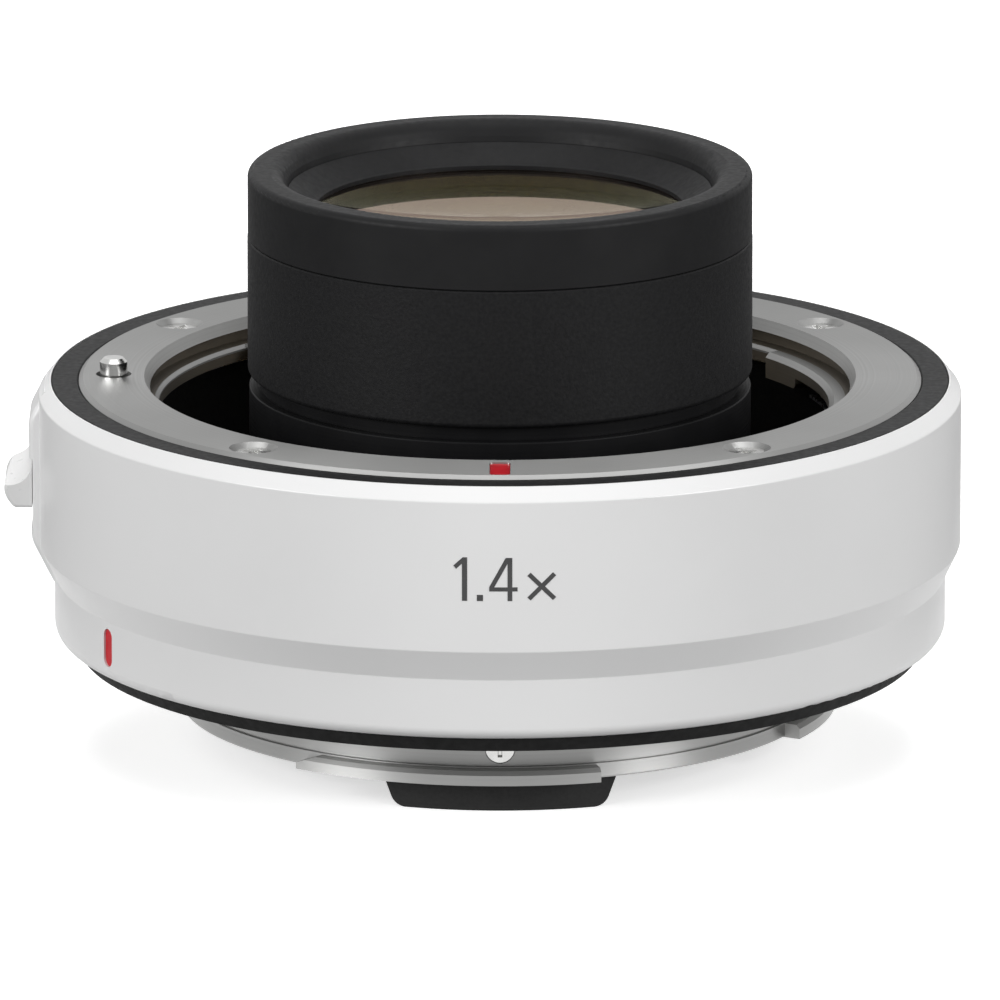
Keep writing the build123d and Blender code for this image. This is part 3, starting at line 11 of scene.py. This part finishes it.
import bpy
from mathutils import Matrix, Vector


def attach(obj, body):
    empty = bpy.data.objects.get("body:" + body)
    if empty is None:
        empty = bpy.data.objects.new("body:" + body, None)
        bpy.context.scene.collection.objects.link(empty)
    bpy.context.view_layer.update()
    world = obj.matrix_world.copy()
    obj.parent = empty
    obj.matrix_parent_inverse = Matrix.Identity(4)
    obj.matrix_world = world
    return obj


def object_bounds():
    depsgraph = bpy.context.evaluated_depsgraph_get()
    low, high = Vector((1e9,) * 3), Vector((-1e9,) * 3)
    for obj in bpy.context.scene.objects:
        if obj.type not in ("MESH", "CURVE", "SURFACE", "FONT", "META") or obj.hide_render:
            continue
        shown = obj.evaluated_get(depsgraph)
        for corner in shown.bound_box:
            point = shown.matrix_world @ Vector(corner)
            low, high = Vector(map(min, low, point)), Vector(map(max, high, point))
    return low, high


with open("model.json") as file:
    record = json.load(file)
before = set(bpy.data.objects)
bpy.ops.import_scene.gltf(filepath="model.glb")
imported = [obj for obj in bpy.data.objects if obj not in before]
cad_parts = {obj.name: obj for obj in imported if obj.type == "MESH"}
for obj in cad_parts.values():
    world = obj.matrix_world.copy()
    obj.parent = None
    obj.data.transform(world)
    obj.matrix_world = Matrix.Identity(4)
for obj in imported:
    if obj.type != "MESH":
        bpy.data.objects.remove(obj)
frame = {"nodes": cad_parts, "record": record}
cad_low, cad_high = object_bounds()
MM = 0.001
print("pieces:", len(frame["nodes"]), "size in mm:", [round(v / MM, 2) for v in cad_high - cad_low])

# %% [markdown]
# ## How smooth the surfaces already are
# A lathe-turned ring made of flat triangles would show facets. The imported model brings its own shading:
# shallow edges are blended and the real edges are marked sharp, so nothing has to be smoothed again here.
# It is worth a look, because a modifier that joins or bends the mesh would throw that shading away.

# %% Look at the shading
for name in ("barrel_shell", "lens_1", "front_mount_plate"):
    mesh = frame["nodes"][name].data
    blended = sum(face.use_smooth for face in mesh.polygons)
    print(name, "blended faces:", blended, "of", len(mesh.polygons))

# %% [markdown]
# ## How the finishes are built
# Every finish starts from one Principled shader. Patterns read the Object coordinates, which are metres
# here, so a noise scale of 1000 means one bump per millimetre. Five helpers are enough: one makes the
# material, one makes a noise pattern, and three turn a pattern into tones, into a roughness or into bumps.
# Noise hardly ever leaves the range from 0.3 to 0.7, so that range is what they spread out.

# %% Helpers for finishes
finishes = {}
NOISE_LOW, NOISE_HIGH = 0.3, 0.7


def new_finish(name, roughness, metallic=0.0, shine=0.5):
    """A material with one Principled shader, kept under its name."""
    material = bpy.data.materials.new(name)
    material.use_nodes = True
    shader = material.node_tree.nodes["Principled BSDF"]
    shader.inputs["Roughness"].default_value = roughness
    shader.inputs["Metallic"].default_value = metallic
    shader.inputs["Specular IOR Level"].default_value = shine
    finishes[name] = material
    return material.node_tree, shader


def noise(tree, scale, detail=2.0, stretch=(1, 1, 1)):
    """A noise pattern over the piece, with scale in bumps per metre."""
    place = tree.nodes.new("ShaderNodeTexCoord")
    mapping = tree.nodes.new("ShaderNodeMapping")
    mapping.inputs["Scale"].default_value = stretch
    pattern = tree.nodes.new("ShaderNodeTexNoise")
    pattern.inputs["Scale"].default_value = scale
    pattern.inputs["Detail"].default_value = detail
    tree.links.new(place.outputs["Object"], mapping.inputs["Vector"])
    tree.links.new(mapping.outputs["Vector"], pattern.inputs["Vector"])
    return pattern.outputs[0]


def two_tones(tree, pattern, dark, light, socket):
    """Colour that drifts between two tones of the same paint."""
    ramp = tree.nodes.new("ShaderNodeValToRGB")
    ramp.color_ramp.elements[0].position = NOISE_LOW
    ramp.color_ramp.elements[1].position = NOISE_HIGH
    ramp.color_ramp.elements[0].color = (*dark, 1)
    ramp.color_ramp.elements[1].color = (*light, 1)
    tree.links.new(pattern, ramp.inputs["Fac"])
    tree.links.new(ramp.outputs["Color"], socket)


def spread(tree, pattern, low, high, socket):
    """A pattern turned into a range of numbers, such as a roughness that isn't the same everywhere."""
    span = tree.nodes.new("ShaderNodeMapRange")
    span.inputs["From Min"].default_value = NOISE_LOW
    span.inputs["From Max"].default_value = NOISE_HIGH
    span.inputs["To Min"].default_value = low
    span.inputs["To Max"].default_value = high
    tree.links.new(pattern, span.inputs["Value"])
    tree.links.new(span.outputs["Result"], socket)


def bumps(tree, pattern, depth_mm, shader):
    """A pattern turned into bumps of a real depth."""
    bump = tree.nodes.new("ShaderNodeBump")
    bump.inputs["Strength"].default_value = 1.0
    bump.inputs["Distance"].default_value = depth_mm * MM
    tree.links.new(pattern, bump.inputs["Height"])
    tree.links.new(bump.outputs["Normal"], shader.inputs["Normal"])


print("helpers: new_finish, noise, two_tones, spread, bumps")

# %% [markdown]
# ## White paint
# The barrel is metal with a heat-reflecting white coat, sprayed and baked. Sprayed paint is never mirror
# flat: it has a very fine orange peel, and its gloss drifts a little. A shallow noise at about three bumps
# per millimetre gives the peel, and a broad one moves the tone by three percent.

# %% White paint
tree, shader = new_finish("white_paint", roughness=0.35)
two_tones(tree, noise(tree, 60), (0.795, 0.795, 0.795), (0.82, 0.82, 0.82), shader.inputs["Base Color"])
spread(tree, noise(tree, 900), 0.3, 0.38, shader.inputs["Roughness"])
bumps(tree, noise(tree, 3200), 0.0015, shader)
print("white_paint")

# %% [markdown]
# ## White moulded plastic
# The release lever is moulded, so it is a bit glossier and smoother than the paint, with the faint cloud
# that resin leaves on a mould wall.

# %% White moulded plastic
tree, shader = new_finish("white_plastic", roughness=0.3)
two_tones(tree, noise(tree, 350), (0.79, 0.79, 0.785), (0.81, 0.81, 0.81), shader.inputs["Base Color"])
spread(tree, noise(tree, 1500), 0.27, 0.35, shader.inputs["Roughness"])
bumps(tree, noise(tree, 5000), 0.001, shader)
print("white_plastic")

# %% [markdown]
# ## Turned steel
# Both bayonet mounts are plated rings that were turned on a lathe. The tool leaves grooves round the axis:
# rings on a flat face and hoops on a wall. A pattern in one dimension, fed with the distance from the axis
# plus the height, gives both at once and stays fixed to the piece from every view. The finest grooves can't
# be seen one by one, but they smear each reflection across themselves. The anisotropic part of the shader
# does that: its tangent runs round the axis, and its rotation is a quarter of a turn.

# %% Where a point lies
def axis_places(tree):
    """The distance from the optical axis and the height, in metres, at each point of a piece."""
    place = tree.nodes.new("ShaderNodeTexCoord")
    split = tree.nodes.new("ShaderNodeSeparateXYZ")
    flat = tree.nodes.new("ShaderNodeCombineXYZ")
    radius = tree.nodes.new("ShaderNodeVectorMath")
    radius.operation = "LENGTH"
    tree.links.new(place.outputs["Object"], split.inputs["Vector"])
    tree.links.new(split.outputs["X"], flat.inputs["X"])
    tree.links.new(split.outputs["Y"], flat.inputs["Y"])
    tree.links.new(flat.outputs["Vector"], radius.inputs[0])
    return radius.outputs["Value"], split.outputs["Z"]


def calculate(tree, operation, first, second):
    """One sum on two values, each a number or the output of a node."""
    node = tree.nodes.new("ShaderNodeMath")
    node.operation = operation
    for socket, value in zip(node.inputs, (first, second)):
        if isinstance(value, float):
            socket.default_value = value
        else:
            tree.links.new(value, socket)
    return node.outputs["Value"]


print("helpers: axis_places, calculate")

# %% Marks of the lathe
QUARTER_TURN = 0.25


def turning_marks(tree, grooves_per_mm):
    """A pattern that follows a lathe: it changes only with the radius and the height."""
    radius, height = axis_places(tree)
    marks = tree.nodes.new("ShaderNodeTexNoise")
    marks.noise_dimensions = "1D"
    marks.inputs["Scale"].default_value = grooves_per_mm / MM
    marks.inputs["Detail"].default_value = 3.0
    tree.links.new(calculate(tree, "ADD", radius, height), marks.inputs["W"])
    return marks.outputs[0]


def brush_round_axis(tree, shader, strength):
    """Spread reflections across the turning marks, which run round the optical axis."""
    place = tree.nodes.new("ShaderNodeTexCoord")
    along_marks = tree.nodes.new("ShaderNodeVectorMath")
    along_marks.operation = "CROSS_PRODUCT"
    along_marks.inputs[0].default_value = (0, 0, 1)
    tree.links.new(place.outputs["Object"], along_marks.inputs[1])
    tree.links.new(along_marks.outputs["Vector"], shader.inputs["Tangent"])
    shader.inputs["Anisotropic"].default_value = strength
    shader.inputs["Anisotropic Rotation"].default_value = QUARTER_TURN


print("helpers: turning_marks, brush_round_axis")

# %% Turned steel
tree, shader = new_finish("mount_steel", roughness=0.42, metallic=1.0)
two_tones(tree, noise(tree, 120), (0.34, 0.34, 0.335), (0.37, 0.37, 0.365), shader.inputs["Base Color"])
spread(tree, turning_marks(tree, 6), 0.38, 0.46, shader.inputs["Roughness"])
bumps(tree, turning_marks(tree, 12), 0.0003, shader)
brush_round_axis(tree, shader, 0.85)
print("mount_steel")

# %% [markdown]
# Painted shade: in the deep groove behind the throat's edge, and on the walls of the claws below their
# bevels, the steel's colour is made dull brown. That brown stands in for the shade there and for the dark
# throat that these walls mirror. The groove is found by its height and radius, and the walls by their
# height.

# %% Painted shade in the groove and under the claws
def between(tree, value, limits):
    """One where a value lies between two limits in millimetres, and zero elsewhere."""
    low, high = limits
    above = calculate(tree, "GREATER_THAN", value, low * MM)
    below = calculate(tree, "LESS_THAN", value, high * MM)
    return calculate(tree, "MULTIPLY", above, below)


def darker_where(tree, mask, tint, shader):
    """Multiply the base colour by a tint where the mask is one."""
    tinted = tree.nodes.new("ShaderNodeMix")
    tinted.data_type = "RGBA"
    tinted.blend_type = "MULTIPLY"
    tinted.inputs["B"].default_value = (*tint, 1)
    colour = shader.inputs["Base Color"].links[0].from_socket
    tree.links.new(mask, tinted.inputs["Factor"])
    tree.links.new(colour, tinted.inputs["A"])
    tree.links.new(tinted.outputs["Result"], shader.inputs["Base Color"])


# Painted shade: the steel in this groove and on these claw walls gets a dull brown tint for the shade and
# the dark throat they mirror.
groove_radii, groove_heights = (26.65, 28.2), (18.3, 19.43)
claw_wall_heights = (10.0, 18.0)
painted_shade_tint = (0.5, 0.44, 0.36)
radius, height = axis_places(tree)
groove = calculate(
    tree, "MULTIPLY", between(tree, radius, groove_radii), between(tree, height, groove_heights)
)
# The mask of the painted shade: one in the groove and on the claw walls, where the steel's colour is
# darkened.
painted_shade = calculate(tree, "MAXIMUM", groove, between(tree, height, claw_wall_heights))
darker_where(tree, painted_shade, painted_shade_tint, shader)
print("grease in the groove at", groove_heights, "mm and on the claws' walls at", claw_wall_heights, "mm")

# %% [markdown]
# ## Steel of screws, pin and springs
# Small steel parts are brighter. The screws and the pin are polished and passivated, and the spring steel
# is rolled and blued a little darker. Fine noise breaks up their reflections.

# %% Steel of screws, pin and springs
tree, shader = new_finish("screw_steel", roughness=0.2, metallic=1.0)
two_tones(tree, noise(tree, 900), (0.62, 0.62, 0.61), (0.68, 0.68, 0.67), shader.inputs["Base Color"])
spread(tree, noise(tree, 2500), 0.16, 0.26, shader.inputs["Roughness"])
bumps(tree, noise(tree, 6000), 0.001, shader)

tree, shader = new_finish("spring_steel", roughness=0.3, metallic=1.0)
two_tones(tree, noise(tree, 700), (0.42, 0.42, 0.44), (0.48, 0.48, 0.50), shader.inputs["Base Color"])
spread(tree, noise(tree, 2500), 0.25, 0.36, shader.inputs["Roughness"])
bumps(tree, noise(tree, 5000, stretch=(1, 1, 4)), 0.001, shader)
print("screw_steel, spring_steel")

# %% [markdown]
# ## Black paint and grained paint
# The bezel, the cap and the inner rings have a fine matte black. The tube below the seam has a grained coat
# like fine leather, so that fingers don't slip: cells about a quarter of a millimetre wide, made by mixing
# a cell pattern with noise.

# %% Black paint
tree, shader = new_finish("black_paint", roughness=0.5, shine=0.15)
paint_tones = (0.008, 0.008, 0.0085), (0.011, 0.011, 0.0115)
two_tones(tree, noise(tree, 250), *paint_tones, shader.inputs["Base Color"])
spread(tree, noise(tree, 2000), 0.46, 0.56, shader.inputs["Roughness"])
bumps(tree, noise(tree, 9000), 0.002, shader)
print("black_paint")

# %% Grained paint
def grain(tree, scale):
    """Small cells with soft valleys between them, as a crinkle paint dries."""
    place = tree.nodes.new("ShaderNodeTexCoord")
    cells = tree.nodes.new("ShaderNodeTexVoronoi")
    cells.feature = "SMOOTH_F1"
    cells.inputs["Scale"].default_value = scale
    fine = noise(tree, scale * 1.7, detail=3.0)
    tree.links.new(place.outputs["Object"], cells.inputs["Vector"])
    return calculate(tree, "ADD", cells.outputs["Distance"], fine)


tree, shader = new_finish("black_grain", roughness=0.55, shine=0.15)
grain_tones = (0.006, 0.006, 0.0065), (0.011, 0.011, 0.0115)
two_tones(tree, noise(tree, 3500), *grain_tones, shader.inputs["Base Color"])
spread(tree, noise(tree, 2500), 0.48, 0.62, shader.inputs["Roughness"])
bumps(tree, grain(tree, 3600), 0.012, shader)
print("black_grain")

# %% [markdown]
# ## Black plastics, rubber and anodised alloy
# The throat sleeve, the baffle and the contact blocks are glass-filled plastic, dull with a fine spark
# erosion texture. The gasket is rubber: duller still, with a dusty bloom. The chassis and the lens cells
# are black anodised aluminium, with faint lathe marks under the dye.

# %% Black plastics, rubber and anodised alloy
tree, shader = new_finish("black_plastic", roughness=0.6, shine=0.25)
two_tones(tree, noise(tree, 500), (0.008, 0.008, 0.008), (0.012, 0.012, 0.012), shader.inputs["Base Color"])
spread(tree, noise(tree, 4000), 0.55, 0.68, shader.inputs["Roughness"])
bumps(tree, noise(tree, 7000, detail=4.0), 0.006, shader)

tree, shader = new_finish("gasket_rubber", roughness=0.75, shine=0.15)
two_tones(tree, noise(tree, 400), (0.006, 0.006, 0.006), (0.01, 0.01, 0.01), shader.inputs["Base Color"])
spread(tree, noise(tree, 1800), 0.68, 0.82, shader.inputs["Roughness"])
bumps(tree, noise(tree, 2500), 0.006, shader)

tree, shader = new_finish("chassis_alloy", roughness=0.55, shine=0.08)
dye_tones = (0.006, 0.006, 0.0065), (0.009, 0.009, 0.0095)
two_tones(tree, noise(tree, 300), *dye_tones, shader.inputs["Base Color"])
spread(tree, turning_marks(tree, 4), 0.38, 0.5, shader.inputs["Roughness"])
bumps(tree, turning_marks(tree, 7), 0.0015, shader)
print("black_plastic, gasket_rubber, chassis_alloy")

# %% [markdown]
# ## Coated glass
# Lens surfaces carry a very thin coating that kills most of the reflection and tints what is left: amber at
# a low angle, green from above. The glass itself is clear, so the shader transmits. A film on top, under
# half a thousandth of a millimetre thick, weakens the blue at a low angle, and a warm specular tint adds
# to that.

# %% Coated glass
tree, shader = new_finish("coated_glass", roughness=0.02)
two_tones(tree, noise(tree, 90), (0.90, 0.88, 0.83), (0.93, 0.91, 0.87), shader.inputs["Base Color"])
shader.inputs["Specular Tint"].default_value = (0.95, 0.8, 0.55, 1)
spread(tree, noise(tree, 400), 0.008, 0.02, shader.inputs["Roughness"])
shader.inputs["Transmission Weight"].default_value = 1.0
shader.inputs["IOR"].default_value = 1.55
FILM_NANOMETRES = 370
shader.inputs["Thin Film Thickness"].default_value = FILM_NANOMETRES
shader.inputs["Thin Film IOR"].default_value = 1.43
print("coated_glass with a film of", FILM_NANOMETRES, "nanometres")

# %% [markdown]
# ## Red marks, gold, circuit board
# The two index marks are filled with glossy red enamel. The contacts are gold plated. Inside there is a
# green board with black chips and an amber flexible circuit, which only show when the converter is open.

# %% Red marks, gold, circuit board
tree, shader = new_finish("red_paint", roughness=0.3)
two_tones(tree, noise(tree, 1200), (0.55, 0.012, 0.022), (0.62, 0.018, 0.03), shader.inputs["Base Color"])
bumps(tree, noise(tree, 4000), 0.002, shader)

tree, shader = new_finish("contact_gold", roughness=0.25, metallic=1.0)
two_tones(tree, noise(tree, 1500), (0.80, 0.56, 0.22), (0.86, 0.63, 0.28), shader.inputs["Base Color"])
spread(tree, noise(tree, 3000), 0.2, 0.32, shader.inputs["Roughness"])
bumps(tree, noise(tree, 6000), 0.001, shader)

tree, shader = new_finish("board_green", roughness=0.35)
two_tones(tree, noise(tree, 900), (0.012, 0.09, 0.035), (0.02, 0.13, 0.05), shader.inputs["Base Color"])
bumps(tree, noise(tree, 2500, stretch=(1, 3, 1)), 0.006, shader)

tree, shader = new_finish("chip_black", roughness=0.55)
two_tones(tree, noise(tree, 2500), (0.02, 0.02, 0.022), (0.03, 0.03, 0.033), shader.inputs["Base Color"])
bumps(tree, noise(tree, 6000), 0.004, shader)

tree, shader = new_finish("flex_amber", roughness=0.25)
two_tones(tree, noise(tree, 600), (0.30, 0.11, 0.012), (0.38, 0.15, 0.02), shader.inputs["Base Color"])
bumps(tree, noise(tree, 1800, stretch=(6, 1, 1)), 0.004, shader)
print("red_paint, contact_gold, board_green, chip_black, flex_amber")

# %% [markdown]
# ## Give every piece its finish
# The CAD record already says which finish each piece takes, so one loop dresses them all.

# %% Dress the pieces
for part in frame["record"]["subparts"]:
    node = frame["nodes"][part["node"]]
    node.data.materials.clear()
    node.data.materials.append(finishes[part["material_slot"]])

# %% [markdown]
# ## The number on the front
# Teleconverters carry their factor on the barrel, here 1.4x, printed in dark grey ink. Ink has almost no
# thickness, so the number is drawn flat as closed outlines, cut into narrow strips so that it can bend,
# pressed onto the barrel with a Shrinkwrap modifier, and given a hair of thickness with Solidify. The cuts
# start left of the first sign and end right of the last one.

# %% Outline of each sign, in millimetres right of the middle and above the flange
foot, head = 11.41, 14.79
one = [
    (-2.86, foot), (-2.47, foot), (-2.47, head), (-2.80, head),
    (-3.50, 14.14), (-3.30, 13.88), (-2.86, 14.30),
]
point = [(-1.74, foot), (-1.28, foot), (-1.28, 11.89), (-1.74, 11.89)]
four = [
    (0.57, foot), (0.92, foot), (0.92, 12.16), (1.32, 12.16), (1.32, 12.48), (0.92, 12.48),
    (0.92, 14.76), (0.43, 14.76), (-0.81, 12.50), (-0.81, 12.16), (0.57, 12.16),
]
four_hole = [(-0.44, 12.48), (0.57, 12.48), (0.57, 14.32)]
cross_middle, cross_arm, cross_half = (3.14, 12.52), 0.96, 0.12
cross = []
centre = Vector(cross_middle)
along = Vector((1, 1))
for _ in range(4):
    across = Vector((-along.y, along.x))
    cross += [
        centre + along * cross_half - across * cross_half,
        centre + along * cross_arm - across * cross_half,
        centre + along * cross_arm + across * cross_half,
    ]
    along = across
print("outlines:", len(one), len(point), len(four), len(cross))

# %% Fill the outlines
IN_FRONT = 2 * MM
curve = bpy.data.curves.new("number_1.4x", "CURVE")
curve.dimensions = "2D"
curve.fill_mode = "BOTH"
for outline in (one, point, four, four_hole, cross):
    spline = curve.splines.new("POLY")
    spline.points.add(len(outline) - 1)
    spline.use_cyclic_u = True
    for corner, (across, up) in zip(spline.points, outline):
        corner.co = (across * MM, up * MM, 0, 1)
number = bpy.data.objects.new("number_1.4x", curve)
bpy.context.scene.collection.objects.link(number)
bpy.ops.object.select_all(action="DESELECT")
bpy.context.view_layer.objects.active = number
number.select_set(True)
bpy.ops.object.convert(target="MESH")
number.rotation_euler = (math.radians(90), 0, 0)
number.location = (0, cad_low.y - IN_FRONT, 0)
bpy.ops.object.transform_apply(location=True, rotation=True, scale=True)
print("corners:", len(number.data.vertices))

# %% Cut it into strips
STRIP = 0.4 * MM
SAME_CORNER = 0.001 * MM
strip_cuts = range(-9, 12)
bpy.ops.object.mode_set(mode="EDIT")
for step in strip_cuts:
    bpy.ops.mesh.select_all(action="SELECT")
    bpy.ops.mesh.bisect(plane_co=(step * STRIP, 0, 0), plane_no=(1, 0, 0))
bpy.ops.mesh.select_all(action="SELECT")
bpy.ops.mesh.remove_doubles(threshold=SAME_CORNER)
bpy.ops.object.mode_set(mode="OBJECT")
print("cuts:", len(strip_cuts), "corners now:", len(number.data.vertices))

# %% Press it onto the barrel
INK_GAP = 0.012 * MM
INK_THICKNESS = 0.02 * MM
wrap = number.modifiers.new("press on", "SHRINKWRAP")
wrap.target = frame["nodes"]["barrel_shell"]
wrap.wrap_method = "PROJECT"
wrap.use_project_y = True
wrap.use_positive_direction = True
wrap.use_negative_direction = False
wrap.offset = INK_GAP
bpy.ops.object.modifier_apply(modifier=wrap.name)
ink = number.modifiers.new("ink thickness", "SOLIDIFY")
ink.thickness = INK_THICKNESS
ink.offset = 0
bpy.ops.object.modifier_apply(modifier=ink.name)
number_low = min(v.co.y for v in number.data.vertices)
print("ink stands at", round(-number_low / MM, 3), "mm from the axis")

# %% Printed ink
tree, shader = new_finish("number_ink", roughness=0.5)
two_tones(tree, noise(tree, 1500), (0.036, 0.036, 0.037), (0.048, 0.048, 0.049), shader.inputs["Base Color"])
bumps(tree, noise(tree, 6000), 0.002, shader)
number.data.materials.append(finishes["number_ink"])
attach(number, "main")
print("number_ink")

# %% [markdown]
# ## Floor, background and light
# A product photo of a white thing on white is a balance: the background is pure white, and the white paint
# is a little darker, so that its edges show. A shader can tell what kind of ray has reached it, so the floor
# and the world show one tone to the camera and to mirrors, and another as a light. The floor fills the
# picture and looks white, but sends little light back up. The world is pale in reflections, and weaker as a
# light. Soft lamps shape the barrel: one above, one at each side of the camera, and a weak one behind, so
# that the back isn't left in the dark. The steel and the glass don't mirror that one.
# White on white would still lose its edges. A photographer lays a dark card at each side, out of the
# picture, for the sides of the object to mirror. Here the floor does that itself: from 55 mm out it is
# darker, only for reflections.

# %% Kinds of rays
def ray_kinds(tree):
    """One for rays from the camera, and one for rays that a mirror or a lens sends on."""
    rays = tree.nodes.new("ShaderNodeLightPath")
    sent_on = calculate(tree, "MAXIMUM", rays.outputs["Is Glossy Ray"], rays.outputs["Is Transmission Ray"])
    return rays.outputs["Is Camera Ray"], sent_on


print("helper: ray_kinds")

# %% Floor
FLOOR_SIZE = 6
bpy.ops.object.select_all(action="DESELECT")
bpy.ops.mesh.primitive_plane_add(size=FLOOR_SIZE, location=(0, 0, cad_low.z))
floor = bpy.context.object
floor.name = "floor"
floor_material = bpy.data.materials.new("pale_floor")
floor_material.use_nodes = True
floor.data.materials.append(floor_material)
print("floor at", round(cad_low.z / MM, 2), "mm")

# %% How the floor looks
WHITE = (1, 1, 1, 1)
BOUNCE = (0.15, 0.15, 0.15, 1)
GLOW = 0.55
CARD_START = 55 * MM
CARD_DARKNESS = 0.9
tree = floor_material.node_tree
shader = tree.nodes["Principled BSDF"]
shader.inputs["Roughness"].default_value = 0.9
shader.inputs["Specular IOR Level"].default_value = 0.0
shader.inputs["Emission Color"].default_value = WHITE
from_camera, sent_on = ray_kinds(tree)
tone = tree.nodes.new("ShaderNodeMix")
tone.data_type = "RGBA"
tone.inputs["A"].default_value = BOUNCE
tone.inputs["B"].default_value = WHITE
tree.links.new(from_camera, tone.inputs["Factor"])
tree.links.new(tone.outputs["Result"], shader.inputs["Base Color"])

place = tree.nodes.new("ShaderNodeTexCoord")
split = tree.nodes.new("ShaderNodeSeparateXYZ")
tree.links.new(place.outputs["Object"], split.inputs["Vector"])
sideways = calculate(tree, "ABSOLUTE", split.outputs["X"], 0.0)
card = calculate(tree, "GREATER_THAN", sideways, CARD_START)
left_bright = calculate(tree, "SUBTRACT", 1.0, calculate(tree, "MULTIPLY", card, CARD_DARKNESS))
mirror_light = calculate(tree, "MULTIPLY", sent_on, left_bright)
camera_light = calculate(tree, "MULTIPLY", from_camera, GLOW)
glow = calculate(tree, "ADD", camera_light, mirror_light)
tree.links.new(glow, shader.inputs["Emission Strength"])
print("the floor glows", GLOW, "for the camera, and is darker in mirrors from", CARD_START / MM, "mm out")

# %% World
WORLD_LIGHT = 0.2
WORLD_SEEN = 0.8
world = bpy.data.worlds.new("studio")
world.use_nodes = True
bpy.context.scene.world = world
tree = world.node_tree
lighting = tree.nodes["Background"]
lighting.inputs["Color"].default_value = WHITE
lighting.inputs["Strength"].default_value = WORLD_LIGHT
seen = tree.nodes.new("ShaderNodeBackground")
seen.inputs["Color"].default_value = WHITE
seen.inputs["Strength"].default_value = WORLD_SEEN
choose = tree.nodes.new("ShaderNodeMixShader")
tree.links.new(calculate(tree, "MAXIMUM", *ray_kinds(tree)), choose.inputs["Fac"])
tree.links.new(lighting.outputs["Background"], choose.inputs[1])
tree.links.new(seen.outputs["Background"], choose.inputs[2])
tree.links.new(choose.outputs["Shader"], tree.nodes["World Output"].inputs["Surface"])
print("the world lights with", WORLD_LIGHT, "and is seen as", WORLD_SEEN)

# %% Lamps
middle = Vector((0, 0, 0.012))
SIDE_SIZE = 0.32
FRONT_POWER = 3.7


def soft_lamp(name, place, size, power):
    """A square soft box that looks at the middle of the object."""
    lamp = bpy.data.lights.new(name, "AREA")
    lamp.size = size
    lamp.energy = power
    box = bpy.data.objects.new(name, lamp)
    bpy.context.scene.collection.objects.link(box)
    box.location = place
    box.rotation_euler = (middle - box.location).to_track_quat("-Z", "Y").to_euler()
    print(name, "at", place, "with", power, "W")
    return box


soft_lamp("soft box above", place=(0, -0.05, 0.6), size=0.5, power=1.3)
soft_lamp("soft box front left", place=(-0.6, -0.44, 0.26), size=SIDE_SIZE, power=FRONT_POWER)
soft_lamp("soft box front right", place=(0.6, -0.44, 0.26), size=SIDE_SIZE, power=FRONT_POWER)
fill = soft_lamp("soft box behind", place=(0, 0.64, 0.48), size=SIDE_SIZE, power=2.6)
fill.visible_glossy = False
fill.visible_transmission = False

# %% [markdown]
# ## Camera
# The photo was taken from 14 degrees above the mount plane with a long lens. The distance and the focal
# length come from how fast the rings of the mount get narrower towards the back. With both, each ring of
# the mount falls within about a pixel of its place in the photo.

# %% Camera
ELEVATION = math.radians(14.177)
DISTANCE = 1.2469
SENSOR_MM, LENS_MM = 36, 580.8
aim = Vector((0, 0, 0.010255))
camera_data = bpy.data.cameras.new("photo camera")
camera_data.sensor_width = SENSOR_MM
camera_data.lens = LENS_MM
camera_data.clip_start = 0.05
camera = bpy.data.objects.new("photo camera", camera_data)
bpy.context.scene.collection.objects.link(camera)
camera.location = aim + DISTANCE * Vector((0, -math.cos(ELEVATION), math.sin(ELEVATION)))
camera.rotation_euler = (aim - camera.location).to_track_quat("-Z", "Y").to_euler()
bpy.context.scene.camera = camera
bpy.context.scene.view_settings.view_transform = "Standard"
print("camera at", [round(v, 3) for v in camera.location])
